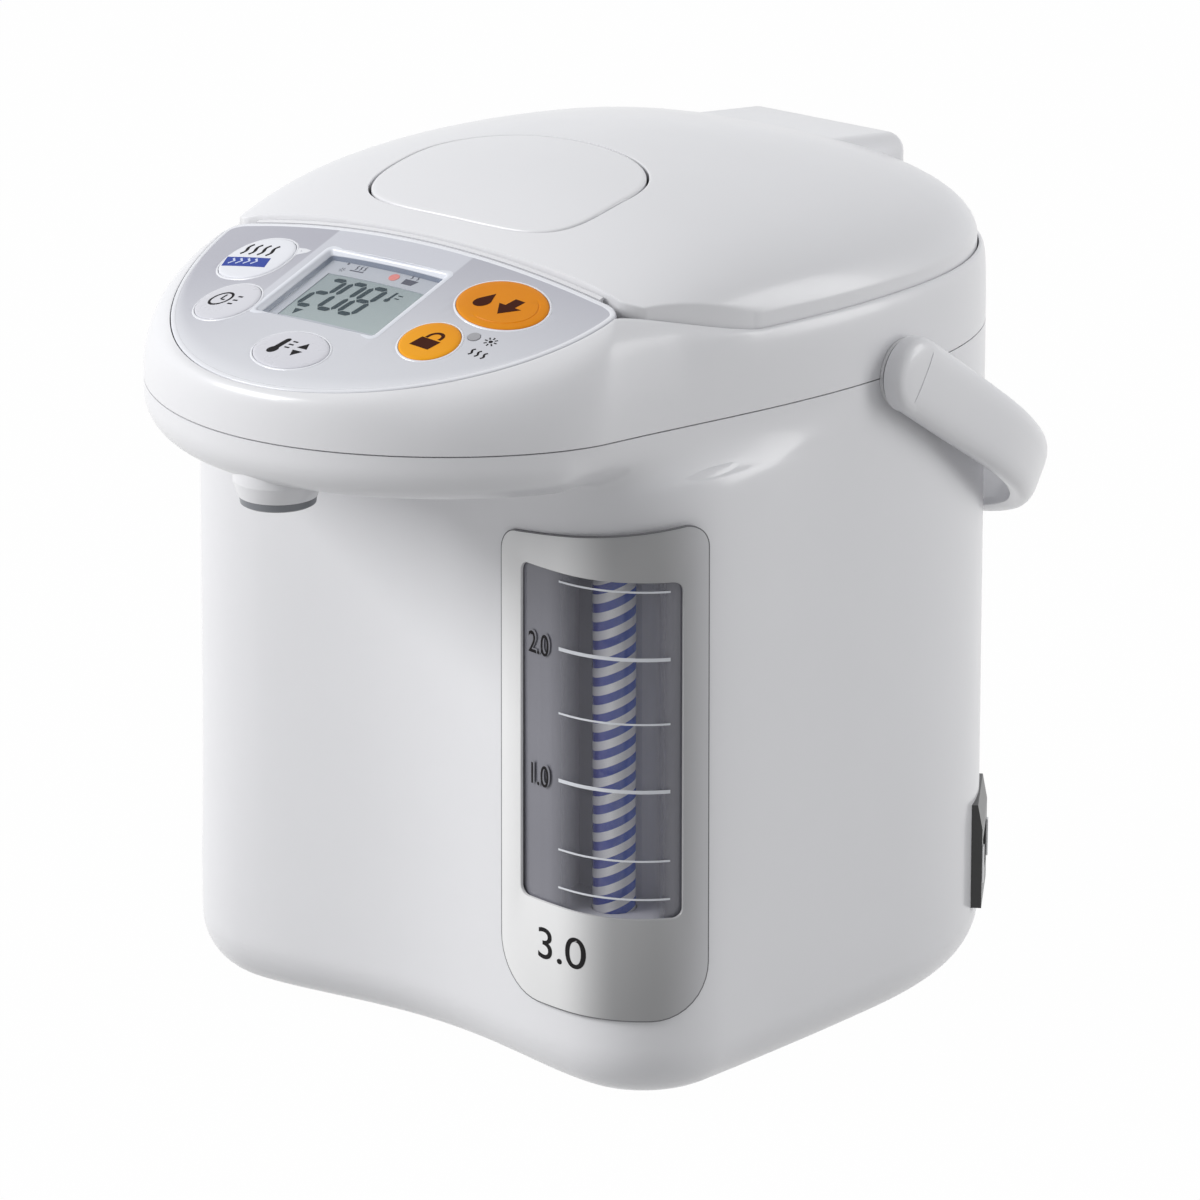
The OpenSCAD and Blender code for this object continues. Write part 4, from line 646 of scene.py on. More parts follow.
lever_hole = lever_line(lever_gap)
skirt_z = lid_edge_z - 8
lid_steps = np.r_[0, 0.004, 0.012, 0.025, 0.045, 0.07, 0.1, 0.14, 0.19, 0.25,
                  np.linspace(0.32, 0.97, 14), 0.985, 0.995]
lid_rings = [at_z(lid_line, skirt_z), on_lid(lid_line, 0.7)]
lid_rings += [on_lid(mix(lid_line, lever_hole, t), 0.25 if t == 0 else 0) for t in lid_steps]
lid_rings += [on_lid(lever_hole, 0.2), on_lid(lever_hole, 0.8)]
lid_rings += [on_lid(mix(lid_in, lever_hole, t), wall) for t in (1, 0.8, 0.55, 0.3, 0.12, 0)]
lid_cover = skin("lid_cover", lid_rings + [at_z(lid_in, skirt_z)], "looped", 50)
hinge_y, hinge_z, knuckle_r = lid_rear - 2, 246, 4.3
lug_x, lug_w, lug_room, lug_gap = 19, 6, 1.8, 0.6
hook_x, hook_z, hook_room = 27, skirt_z + 0.2, 3.5


def box_mesh(name, low, high):
    (x0, y0, z0), (x1, y1, z1) = low, high
    return slab(name, [(x0, y0), (x1, y0), (x1, y1), (x0, y1)], z0, z1)


def lug_cuts():
    """Slots in skirt and housing for the hinge bracket's two lugs."""
    return [box_mesh("lug_cut", (s * lug_x - lug_w / 2 - lug_gap, hinge_y - knuckle_r - lug_room, skirt_z - 10),
                     (s * lug_x + lug_w / 2 + lug_gap, hinge_y + 30, hinge_z + knuckle_r + lug_room))
            for s in (-1, 1)]


hook_cuts = [box_mesh("hook_cut", (s * hook_x - hook_room, -lid_front - 1, hook_z - 0.5),
                      (s * hook_x + hook_room, -lid_front + wall + 2, hook_z + hook_room)) for s in (-1, 1)]
carve(lid_cover, *lug_cuts(), *hook_cuts)
fit(lid_cover, white_gloss, "lid", "white_plastic", "lid_cover")

hump_w, hump_ball, hump_front, hump_rear, hump_top, hump_fall, hump_low = (
    63, 6, lid_rear - 37, lid_rear + 8.5, hinge_z + 12.2, 3.8, hinge_z - 3)


def hump_hull(d):
    """The hinge housing's rounded block, d inside its face."""
    r, x = hump_ball - d, hump_w / 2 - hump_ball
    work = bmesh.new()
    for y, z in ((hump_front + hump_ball, hump_top), (hump_rear - hump_ball, hump_top - hump_fall),
                 (hump_rear - hump_ball, hump_low)):
        for s in (-1, 1):
            for a in np.radians(np.arange(-90, 91, 9)):
                for b in np.radians(np.arange(0, 360, 9)):
                    work.verts.new((s * x + r * math.cos(a) * math.cos(b), y + r * math.cos(a) * math.sin(b),
                                    z - hump_ball + r * math.sin(a)))
    result = bmesh.ops.convex_hull(work, input=work.verts)
    inside = {g for g in result["geom_interior"] + result["geom_unused"] if isinstance(g, bmesh.types.BMVert)}
    bmesh.ops.delete(work, geom=list(inside), context="VERTS")
    work.verts.index_update()
    faces = [[v.index for v in f.verts] for f in work.faces]
    block = grid_mesh("hinge_hump", [v.co[:] for v in work.verts], faces, 30)
    work.free()
    return block


hinge_hump = carve(hump_hull(0), hump_hull(2), *lug_cuts(),
                   box_mesh("hump_cut", (-hump_w, 0, hump_low - 60), (hump_w, 200, hump_low)))
knuckle_x, rib_half = 15, 2
knuckle = rod("lid_knuckle", (-knuckle_x, hinge_y, hinge_z), (knuckle_x, hinge_y, hinge_z), knuckle_r)
rib = box_mesh("knuckle_rib", (-knuckle_x, hinge_y - rib_half, hinge_z + 1),
               (knuckle_x, hinge_y + rib_half, hump_top - hump_fall - 1))
fit(join(hinge_hump, knuckle, rib), white_gloss, "lid", "white_plastic")


# ---- lid lever: a flush flap in the lid's crown that lifts at its front to draw the latch back ----
# It turns on a steel pin between two ears of a shallow cup.
lever_rings = [on_lid(mix(lever_mid, lever_line(-0.25), k), lever_t) for k in (0.05, 0.55, 1)]
lever_rings += [on_lid(lever_line(0), 1.6), on_lid(lever_line(0), 0.5), on_lid(lever_line(-0.15), 0.15)]
lever_rings += [on_lid(mix(lever_mid, lever_line(-0.4), k), 0)
                for k in (1, 0.97, 0.9, 0.8, 0.65, 0.5, 0.35, 0.2, 0.05)]
lever_flap = skin("lever_flap", lever_rings, smooth=50)
lever_y, lever_down = -14, 6
ear_in, ear_out, ear_r, ear_rib, ear_up = 6, 19.3, 2.4, 1.5, 3.3
lever_z = float(lid_top(0, lever_y)) - lever_down
for s in (-1, 1):
    near, far = s * ear_in, s * ear_out
    join(lever_flap, rod("knuckle", (near, lever_y, lever_z), (far, lever_y, lever_z), ear_r),
         box_mesh("knuckle_rib", (min(near, far), lever_y - ear_rib, lever_z),
                  (max(near, far), lever_y + ear_rib, lever_z + ear_up)))
fit(lever_flap, white_gloss, "lever", "white_plastic", "lid_lever")


# ---- control panel: a silver-lilac plate under the keys, with a display window ----
# The plate is crowned across and lies in the head; the keys stand through it on the carrier deck.
def flat_mesh(name, shape):
    """The plain mesh of a curve or of letters."""
    flat = bpy.data.objects.new(name, shape)
    scene.collection.objects.link(flat)
    mesh = bpy.data.meshes.new_from_object(flat.evaluated_get(bpy.context.evaluated_depsgraph_get()))
    bpy.data.objects.remove(flat)
    return mesh


def panel_plate_mesh(name, outlines, top, bottom, edge=0.0, smooth=40, step=3.0):
    """A plate cut to outlines, later ones being holes, bent to the panel's crown in strips a step wide."""
    curve = bpy.data.curves.new(name, "CURVE")
    curve.dimensions, curve.fill_mode = "2D", "BOTH"
    curve.extrude, curve.bevel_depth, curve.bevel_resolution = (top - bottom) / 2 - edge, edge, 2
    curve.offset = -edge
    for loop in outlines:
        spline = curve.splines.new("POLY")
        spline.points.add(len(loop) - 1)
        for point, (x, y) in zip(spline.points, loop):
            point.co = (x, y, 0, 1)
        spline.use_cyclic_u = True
    work = bmesh.new()
    work.from_mesh(flat_mesh(name, curve))
    bmesh.ops.remove_doubles(work, verts=work.verts, dist=0.001)
    low, high = min(v.co.x for v in work.verts), max(v.co.x for v in work.verts)
    for x in np.arange(math.ceil(low / step) * step, high, step):
        bmesh.ops.bisect_plane(work, geom=work.verts[:] + work.edges[:] + work.faces[:], dist=0.0005,
                               plane_co=(x, 0, 0), plane_no=(1, 0, 0))
    work.verts.index_update()
    flat_points = np.array([v.co for v in work.verts])
    faces = [[v.index for v in f.verts] for f in work.faces]
    work.free()
    points = on_panel(flat_points[:, 0], flat_points[:, 1], flat_points[:, 2] + (top + bottom) / 2)
    return grid_mesh(name, points, faces, smooth)


def key_line(middle, size, power, grow=0.0, count=96):
    """A key's outline, grown by grow: an oval, or squarer for a power above 2."""
    a = 2 * np.pi * np.arange(count) / count
    c, s = np.cos(a), np.sin(a)
    return np.c_[middle[0] + (size[0] + grow) * np.sign(c) * np.abs(c) ** (2 / power),
                 middle[1] + (size[1] + grow) * np.sign(s) * np.abs(s) ** (2 / power)]


key_shapes = {"reboil": ((-48.8, 8.6), (12.3, 11.4), 2.2), "timer": ((-39.4, -15.1), (10.8, 9.9), 2),
              "temp": ((1.4, -32.0), (13, 9.2), 2), "unlock": ((37.7, -11.9), (9.1, 9.4), 2),
              "dispense": ((45.2, 12.3), (14.9, 11.3), 2)}
key_gap, key_rise = 0.3, 0.6
lcd_x0, lcd_y0, lcd_w, lcd_h = -27.5, -17.3, 48.1, 36.1
light_spot, light_r = (47.7, -3.9), 1.9


def lcd_line(grow, r=0.01):
    """The display's outline, grown by grow, with corners of radius r."""
    x0, y0, x1, y1 = lcd_x0 - grow, lcd_y0 - grow, lcd_x0 + lcd_w + grow, lcd_y0 + lcd_h + grow
    corners = (x1 - r, y0 + r, -90), (x1 - r, y1 - r, 0), (x0 + r, y1 - r, 90), (x0 + r, y0 + r, 180)
    loop = []
    for cx, cy, turn in corners:
        loop += [(cx + r * math.cos(math.radians(turn + a)), cy + r * math.sin(math.radians(turn + a)))
                 for a in range(0, 91, 15)]
    return np.array(loop)


# Painted shade to the rear left, a painted highlight along the front edge, and paler behind the display
panel_paint_and_shade = moulded("panel_paint_and_shade", (0.60, 0.60, 0.65), 0.32, 0.35, 0.08)
spot, x, y = panel_paint_and_shade.place()[:3]
# Painted shade: darker to the rear left, paler to the front right
shade = panel_paint_and_shade.blend((x * 0.35 - (y + 105)).ramp(-52, 38), (0.40, 0.40, 0.46), (0.68, 0.69, 0.73))
band = x.ramp(-32.3, -31.3) * (1 - x.ramp(20.6, 21.6)) * y.ramp(-124, -92)
shade = panel_paint_and_shade.blend(band * 0.45, shade, (0.80, 0.82, 0.88))
# Painted highlight: paler within about nine millimetres of the rounded front edge
u = (x * x * (1 / panel_w ** 2)).math("MINIMUM", 0.999)
front = tip_up - (1 - u).math("POWER", eye_power) * (tip_up + panel_down)
from_edge = (y + (mid_y + panel_y)) * (1 / math.cos(panel_tilt)) - front
shade = panel_paint_and_shade.blend(from_edge.ramp(9.5, 1.0) * 0.8, shade, (0.80, 0.81, 0.85))
flakes = panel_paint_and_shade.noise(spot, 1.6, 3.0) * 0.06
panel_paint_and_shade.feed(Base_Color=panel_paint_and_shade.blend(flakes, shade, (0.30, 0.30, 0.34)))
panel_holes = [key_line(*k, grow=key_gap) for k in key_shapes.values()]
panel_holes += [lcd_line(0), key_line(light_spot, (light_r, light_r), 2, 0, 32)]
panel_face = panel_plate_mesh("panel_face", [eye_line(lid_gap / 2), *panel_holes], 0, -plate_t, 0.25)
fit(panel_face, panel_paint_and_shade, "root", "silver_plastic", "panel_plate")


def laid(loop, off):
    """A flat loop laid on the panel, off above it."""
    return on_panel(loop[:, 0], loop[:, 1], off)


def panel_ring(name, loops):
    """A raised ring on the panel, from pairs of a flat loop and its height."""
    return skin(name, [laid(*pair) for pair in loops][::-1], "looped", 60)


rim_white_and_highlight = moulded("rim_white_and_highlight", (0.80, 0.81, 0.85), 0.25, 0.5)
# A raised ring along the panel's edge, white as a painted highlight of that rounded edge
panel_rim = panel_ring("panel_rim", [(eye_line(inside), h) for inside, h in (
    (0.4, -0.1), (0.45, 0.06), (0.7, 0.13), (1.1, 0.15), (1.5, 0.11), (1.9, 0.02), (2.0, -0.1))])
rim_steps = ((-0.2, -0.4), (-0.18, 0.2), (0.0, 0.27), (0.25, 0.2), (0.45, 0.08), (0.55, -0.1))
key_rims = [panel_ring("key_rims", [(key_line(*k, grow=g + key_gap), h) for g, h in rim_steps])
            for k in key_shapes.values()]
bezel = panel_ring("display_bezel", [(lcd_line(grow, r), h) for grow, r, h in (
    (-2.2, 0.6, -3.1), (-0.75, 1.2, -0.35), (-0.5, 1.3, 0.0), (-0.1, 1.6, 0.14), (0.5, 2.0, 0.15),
    (0.9, 2.2, 0.08), (1.1, 2.3, 0.02), (-0.15, 0.9, -0.02), (-0.2, 0.9, -3.1))])
# Painted shade: the display's surround is dark down in its well and pale on its rim
well_painted_shade = moulded("display_well", (0.33, 0.36, 0.42), 0.3, 0.3)
x, y, z = well_painted_shade.place()[1:]
height = z - panel_z - (y + panel_y) * math.tan(panel_tilt) + x * x * crown_k
well_painted_shade.feed(Base_Color=well_painted_shade.blend(height.ramp(-0.45, -0.1), (0.17, 0.20, 0.27), (0.76, 0.78, 0.84)))
fit(panel_rim, rim_white_and_highlight, "root", "white_plastic")
fit(join(*key_rims), rim_white_and_highlight, "root", "white_plastic")
fit(bezel, well_painted_shade, "root", "silver_plastic", "lcd_frame")
pointer_line = np.array([(-37.4, 12.2), (-33.4, 14.6), (-32.6, 15.9),
                         (-35.6, 16.6), (-38.3, 16.5), (-38.2, 14.0)])
pointer_mid = np.array((-36.0, 15.0))
pointer = panel_ring("pointer_mark", [(pointer_line * k + pointer_mid * (1 - k), h) for k, h in (
    (1, -0.1), (1, 0.1), (0.85, 0.16), (0.1, 0.16), (0.1, -0.1))])
fit(pointer, rim_white_and_highlight, "root", "white_plastic")

key_white = moulded("key_white", (0.80, 0.81, 0.86), 0.3, 0.4)
key_silver = moulded("key_silver", (0.66, 0.66, 0.71), 0.28, 0.5, 0.08, 0.03)
key_amber = moulded("key_amber", (0.80, 0.28, 0.005), 0.45, 0, 0.08, Specular_IOR_Level=0.25)
spot, x, y = key_amber.place()[:3]
glow = key_amber.blend(key_amber.noise(spot, 0.12, 2.0), (0.70, 0.22, 0.0), (0.78, 0.27, 0.002))
# Painted light: the amber is paler towards the front
key_amber.feed(Base_Color=key_amber.blend((y + x * 0.25).ramp(-104, -72), (0.90, 0.38, 0.01), glow))
key_finish = {"reboil": key_white, "timer": key_silver, "temp": key_silver,
              "unlock": key_amber, "dispense": key_amber}
plain_top, grooved_top = (0.85,), (0.86, 0.845, 0.825, 0.81)
groove_z = 0.42
for key, (middle, size, power) in key_shapes.items():
    rings = [laid(key_line(middle, size, power, grow), off)
             for grow, off in ((0, -4), (0, 0.0), (-0.12, 0.3), (-0.4, 0.48), (-0.9, 0.57))]
    for k in (*(grooved_top if key == "dispense" else plain_top), 0.6, 0.4, 0.2, 0.05):
        loop = mix(np.array(middle), key_line(middle, size, power, -0.8), k)
        side = ramp((loop[:, 0] - middle[0] - (loop[:, 1] - middle[1]) * 0.9 - 1) / 6)
        rings.append(laid(loop, mix(key_rise, groove_z if k in grooved_top[1:3] else key_rise, side)))
    slot = "key_orange" if key_finish[key] is key_amber else "key_white"
    fit(skin("key_cap_" + key, rings, smooth=30), key_finish[key], f"key_{key}_cap", slot, "key_" + key)


# ---- panel print: plain signs in dark ink, a film of a few hundredths over keys, panel and display ----
# Steam waves, clock, thermometer, padlock and drop stand on the keys; digits and signs in the display.
def stroke(points, width):
    """The outline of a thick line through points."""
    q = np.asarray(points, float)
    d = np.gradient(q, axis=0)
    d /= np.linalg.norm(d, axis=1)[:, None]
    n = np.c_[-d[:, 1], d[:, 0]] * width / 2
    return np.vstack([q + n, (q - n)[::-1]])


def arc(x, y, r, first, last, count=24, squash=1.0):
    """Points along an arc, from the first to the last degree."""
    a = np.radians(np.linspace(first, last, count))
    return np.c_[x + r * np.cos(a), y + r * np.sin(a) * squash]


def wave(x, y, tall, sway, width):
    """A rising wisp of steam."""
    t = np.linspace(0, 1, 15)
    return stroke(np.c_[x + sway * np.sin(2 * np.pi * t), y + tall * t], width)


def drop(x, y, r):
    """A water drop's outline with its tip up."""
    tip = [(x + 0.30 * r, y + 1.45 * r), (x, y + 2.0 * r), (x - 0.30 * r, y + 1.45 * r)]
    return np.vstack([arc(x, y, r, -215, 35, 30), tip])


def lean(loops, x, y, slope=0.0):
    """Signs drawn about 0, 0, put in their place and leaned."""
    loops = [np.asarray(q, float) for q in loops]
    return [np.c_[q[:, 0] + x + q[:, 1] * slope, q[:, 1] + y] for q in loops]


def ink(name, loops, paint, off, body="root", slot="black_plastic", thick=0.05, sink=0.03):
    """A printed film, off above the panel, which sinks a little into what it lies on."""
    return fit(panel_plate_mesh(name, loops, off + thick, off - sink, 0, 30), paint, body, slot)


def matt_ink(name, colour, rough):
    return moulded(name, colour, rough, 0, Specular_IOR_Level=0.15)


def star(x, y, inner, outer, turn, width):
    """Short strokes pointing outwards, one every turn degrees."""
    return [stroke([(x + r * math.cos(a), y + r * math.sin(a)) for r in (inner, outer)], width)
            for a in np.radians(np.arange(0, 360, turn))]


dark_ink = matt_ink("dark_ink", (0.012, 0.011, 0.012), 0.75)
brown_ink = matt_ink("brown_ink", (0.045, 0.008, 0.002), 0.75)
blue_ink = matt_ink("blue_ink", (0.045, 0.075, 0.34), 0.6)
tag_ink = moulded("tag_ink", (0.62, 0.68, 0.88), 0.6, 0)
grey_ink = matt_ink("grey_ink", (0.10, 0.10, 0.13), 0.7)
italic = 0.25
waves = [wave(x, 0, 5.4, 0.62, 1.05) for x in (-6.0, -2.4, 1.2, 4.8)]
ink("reboil_sign", lean(waves, -51.2, 9.9, italic), dark_ink, key_rise, "key_reboil_cap")
tag = [(-58.6, 2.7), (-41.3, 3.8), (-43.0, 8.7), (-60.5, 7.7)]
ink("reboil_tag", [tag], blue_ink, key_rise, "key_reboil_cap")
arrows = [stroke([(x, 4.6), (x + 1.5, 6.0), (x, 7.4)], 0.75) for x in (-57.2, -54.2, -51.2, -48.2)]
arrows = [a + np.c_[0 * a[:, 0], (a[:, 0] + 52) * 0.07] for a in arrows]
ink("reboil_tag_arrows", arrows, tag_ink, key_rise + 0.05, "key_reboil_cap")
clock = [arc(0, 0, 3.7, 0, 352.5, 48), arc(0, 0, 2.95, 0, 352.5, 48), stroke([(0, -0.15), (0, 2.3)], 0.7),
         stroke([(0.5, -0.35), (1.8, -0.35)], 0.6)] + [stroke([(5.0, h), (6.8, h)], 0.6) for h in (-2, 0, 2)]
ink("timer_sign", lean(clock, -42.6, -14.5, italic), dark_ink, key_rise, "key_timer_cap")
bulb = [np.vstack([arc(0, -2.4, 1.7, -234, 54, 30), arc(0, 3.0, 0.95, 0, 180, 12)])]
bulb += [stroke([(2.2, h), (4.0, h)], 0.55) for h in (-0.2, 1.4, 3.0)]
ink("temp_sign", lean(bulb, -3.4, -31.5, italic), dark_ink, key_rise, "key_temp_cap")
up_down = [[(0, 0.5), (3.8, 0.5), (1.9, 3.3)], [(0, -0.9), (1.9, -3.7), (3.8, -0.9)]]
ink("temp_arrows", lean(up_down, 2.6, -31.2, italic), dark_ink, key_rise, "key_temp_cap")
lock = [[(-3.4, -3.9), (3.4, -3.9), (3.4, 0.7), (-3.4, 0.7)],
        np.vstack([arc(0, 2.0, 2.6, 0, 180, 20), [(-2.6, 0.9), (-1.6, 0.9)],
                   arc(0, 2.0, 1.6, 180, 0, 20), [(1.6, 1.3), (2.6, 1.3)]])]
ink("unlock_sign", lean(lock, 37.8, -12.0, italic), brown_ink, key_rise, "key_unlock_cap")
pour = [drop(-4.6, -1.6, 2.5),
        [(2.2, 3.9), (5.6, 3.9), (5.6, 0.2), (7.9, 0.2), (3.9, -4.4), (-0.1, 0.2), (2.2, 0.2)]]
ink("dispense_sign", lean(pour, 44.2, 12.2, italic), brown_ink, key_rise, "key_dispense_cap")
sun = [arc(53.5, -3.5, 0.62, 0, 345, 16)] + star(53.5, -3.5, 1.15, 2.1, 45, 0.42)
steam = lean([wave(x, 0, 3.0, 0.4, 0.6) for x in (0, 2.2, 4.4)], 51.4, -11.4, 0.2)
ink("slow_sign", sun + steam, dark_ink, 0.0)

# The display's mask, green glass, lamp and small signs
glass_green = moulded("display_glass_green", (0.36, 0.43, 0.43), 0.25, 0.4, 0.05)
x, y = glass_green.place()[1:3]
# Painted shade: the green glass is darker towards the rear left
shade = glass_green.blend((x * 0.5 - y).ramp(70, 135), (0.25, 0.31, 0.32), (0.45, 0.52, 0.51))
glass_green.feed(Base_Color=shade)
mask_grey = moulded("display_mask", (0.50, 0.52, 0.57), 0.4, 0.2)
salmon = moulded("salmon_lamp", (0.80, 0.20, 0.16), 0.3, 0.4)
digit_ink = matt_ink("digit_ink", (0.018, 0.035, 0.042), 0.7)
green_x0, green_y0, green_x1, green_y1 = -21.6, -13.2, 16.6, 10.2
mask_off, face_off, digit_off, sign_off = -3.1, -3.15, -3.05, -2.85   # all lie below the panel
well = lcd_line(-2.1, 0.5)
face_line = np.array([(green_x0, green_y0), (green_x1, green_y0), (green_x1, green_y1), (green_x0, green_y1)])
ink("display_mask", [well, face_line], mask_grey, mask_off, "root", "grey_plastic", 0.25)
ink("display_glass", [face_line * 0.999], glass_green, face_off, "root", "lcd_green", 0.08)
ink("display_lamp", [arc(1.3, 14.2, 1.75, 0, 350, 36, 0.95)], salmon, sign_off, "root", "key_orange", 0.12)
cup = [[(-2.2, -2.2), (1.6, -2.2), (2.2, 0.4), (-2.8, 0.4)]]
cup += [wave(x, 0.9, 1.9, 0.3, 0.4) for x in (-1.6, 0.6)]
boil = [stroke([(-2.8, -1.1), (2.6, -1.1)], 0.5)] + [wave(x, -0.4, 2.2, 0.3, 0.45) for x in (-1.6, 0, 1.6)]
signs = lean(boil, -12.6, 14.4, 0.2) + lean([arc(0, 0, 0.5, 0, 340, 14)], -18.6, 16.2)
signs += lean(star(0, 0, 0.35, 1.15, 60, 0.26), -18.4, 12.9) + lean(cup, 8.2, 14.4, 0.2)
ink("display_signs", signs, grey_ink, sign_off, thick=0.03)

# Seven-segment digits, a small thermometer and the arrowhead at the lower left
digit_w, digit_h, segment_w, segment_gap = 5.4, 14.4, 1.9, 0.28


def segment(x0, y0, x1, y1, t):
    """A bar with pointed ends, like those of a display's digit."""
    d = np.array((x1 - x0, y1 - y0), float)
    d /= np.linalg.norm(d)
    n = np.array((-d[1], d[0])) * t / 2
    p, q = np.array((x0, y0)) + d * segment_gap, np.array((x1, y1)) - d * segment_gap
    return np.array([p, p + d * t / 2 - n, q - d * t / 2 - n, q, q - d * t / 2 + n, p + d * t / 2 + n])


sides = {"a": (0, 2, 1, 2), "b": (1, 1, 1, 2), "c": (1, 0, 1, 1), "d": (0, 0, 1, 0),
         "e": (0, 0, 0, 1), "f": (0, 1, 0, 2), "g": (0, 1, 1, 1)}
digits = []
for place, lit in zip((-20.3, -12.2, -4.1), ("abged", "abcdef", "abcdefg")):
    for part in lit:
        x0, y0, x1, y1 = sides[part]
        bar = segment(x0 * digit_w, y0 * digit_h / 2, x1 * digit_w, y1 * digit_h / 2, segment_w)
        digits += lean([bar], place + 0.6, -6.6, 0.16)
digits += lean([[(0, 1.6), (3.2, 1.6), (1.6, -1.2)]], -18.6, -10.4, 0.2)
digits += lean([stroke([(0, 0), (0, 3.4)], 0.9), arc(0, -0.9, 0.95, 0, 345, 20),
                *[stroke([(1.5, h), (3.2, h)], 0.45) for h in (0.6, 2.2)]], 7.4, 4.6, 0.16)
ink("display_digits", digits, digit_ink, digit_off, thick=0.03)


# ---- handle: a strap bent into a bail, white plastic, hung on studs at the seam ----
# Stowed behind the pot it rests below the level; the studs turn in two bushes.
strap_w, strap_t, strap_gap, handle_bend, handle_rest, cross_w = 23, 7, 2, 84, math.radians(33), 19
handle_reach = (rear_reach - pivot_y) / math.cos(handle_rest) + strap_t + 9
strap_x, strap_y = half_w + strap_gap + strap_t / 2, handle_reach - strap_t / 2
straight = np.c_[np.full(12, -strap_x), (strap_y - handle_bend) * np.arange(12) / 12]
a = np.radians(np.linspace(0, 90, 33))
bend = np.c_[-strap_x + handle_bend * (1 - np.cos(a)), strap_y - handle_bend * (1 - np.sin(a))]
cross = np.c_[np.linspace(-strap_x + handle_bend, 0, 6)[1:], np.full(5, strap_y)]
half_path = np.vstack([straight, bend, cross])
strap_path = np.vstack([half_path, (half_path * (-1, 1))[-2::-1]])
half_section = np.array([(-0.2, 0.31), (-0.5, 0.34), (-0.5, 0.44), (-0.46, 0.475), (-0.3, 0.5), (-0.1, 0.505),
                         (0.1, 0.5), (0.26, 0.465), (0.38, 0.40), (0.46, 0.32), (0.5, 0.2)])
section = np.roll(np.vstack([half_section, [(0.5, 0)], (half_section * (1, -1))[::-1]]), 3, 0)
d = np.gradient(strap_path, axis=0)
d /= np.linalg.norm(d, axis=1)[:, None]
out = np.c_[-d[:, 1], d[:, 0]]
widths = mix(strap_w, cross_w, ramp(strap_path[:, 1] / strap_y))


def on_pivot(p):
    """From the bail's own plane to the pot's, at rest."""
    c, s = math.cos(handle_rest), math.sin(handle_rest)
    return np.c_[p[:, 0], pivot_y + p[:, 1] * c + p[:, 2] * s, seam_z - p[:, 1] * s + p[:, 2] * c]


strap_rings = [on_pivot(np.c_[spot + np.outer(section[:, 0] * strap_t, way), section[:, 1] * width])
               for spot, way, width in zip(strap_path, out, widths)]
fit(skin("bail_strap", strap_rings, smooth=35), white_gloss, "bail", "white_plastic", "handle")
for s, side in ((-1, "left"), (1, "right")):
    a = np.radians(np.arange(72) * 5)
    ring = np.c_[0 * a, np.cos(a), np.sin(a)]
    inner, outer = strap_x - strap_t / 2, strap_x + strap_t / 2 - 0.6
    profile = [(inner, 11.2), (inner + 0.3, 11.5), (outer - 2.5, 11.5), (outer - 1.2, 11.1),
               (outer - 0.4, 10.2), (outer, 8.5), (outer + 0.3, 5), (outer + 0.4, 0.5)]
    rings = [on_pivot(ring * (0, r, r) + (s * x, 0, 0)) for x, r in profile]
    fit(skin("bail_boss_" + side, rings[::s]), white_gloss, "bail", "white_plastic")


# ---- gauge: a satin silver frame taped over the water window on the front right corner ----
# Behind the tinted window stand the glass tube and a striped strip.
def wall_loop(d, s0, s1, z0, z_left, z_right, r_low, r_top, n_arc=10, n_edge=24):
    """A rounded four-sided loop in wall coordinates, d inside the stated edges."""
    s0, s1, z0, z_left, z_right = s0 + d, s1 - d, z0 + d, z_left - d, z_right - d
    r_low, r_top = r_low - d, r_top - d
    c = [(s0 + r_low, z0 + r_low, r_low, 180), (s1 - r_low, z0 + r_low, r_low, 270),
         (s1 - r_top, z_right - r_top, r_top, 0), (s0 + r_top, z_left - r_top, r_top, 90)]
    loop = []
    for k in range(4):
        (cs, cz, r, turn), (ns, nz, nr, nturn) = c[k], c[(k + 1) % 4]
        for i in range(n_arc + 1):
            t = math.radians(turn + 90 * i / n_arc)
            loop.append((cs + r * math.cos(t), cz + r * math.sin(t)))
        t0, t1 = math.radians(turn + 90), math.radians(nturn)
        p = np.array((cs + r * math.cos(t0), cz + r * math.sin(t0)))
        q = np.array((ns + nr * math.cos(t1), nz + nr * math.sin(t1)))
        loop += [tuple(mix(p, q, i / n_edge)) for i in range(1, n_edge)]
    return np.array(loop)


def wrap(loop, off):
    return on_wall(loop[:, 0], loop[:, 1], off)


frame_edge = (frame_s, frame_s + frame_w, frame_low, frame_top, frame_top + frame_rise, 17, 7)
glass_edge = (glass_s0, glass_s1, glass_low, glass_top, glass_top, 3, 3)
seat, frame_t = 0.2, 1.0
rounding = ((0, 0), (0, 0.75), (0.1, 0.93), (0.3, 1.0))
gauge_rings = [wrap(wall_loop(d, *frame_edge), seat + h) for d, h in rounding]
gauge_rings += [wrap(wall_loop(-d, *glass_edge), seat + h) for d, h in rounding[::-1]]
gauge_frame = skin("gauge_frame_skin", gauge_rings, "looped")
frame_silver = moulded("frame_silver", (0.80, 0.80, 0.81), 0.3, 0.3, 0.1)
x, y = frame_silver.place()[1:3]
# Painted light and shade: the frame is pale on the front, dark where it turns the corner, lighter again further
# round
shade = frame_silver.blend((x + y).ramp(-18, 8), (0.84, 0.84, 0.84), (0.36, 0.36, 0.365))
frame_silver.feed(Base_Color=frame_silver.blend((x + y).ramp(22, 54), shade, (0.58, 0.58, 0.60)))
fit(gauge_frame, frame_silver, "root", "silver_plastic", "gauge_frame")
edge_grey = moulded("edge_grey", (0.16, 0.16, 0.17), 0.5, 0)
edge_rings = [wrap(wall_loop(d, *frame_edge), h)
              for d, h in ((0.05, 0.05), (0.05, 1.12), (-0.28, 1.12), (-0.28, 0.05))]
fit(skin("frame_outline", edge_rings, "looped"), edge_grey, "root", "black_plastic")


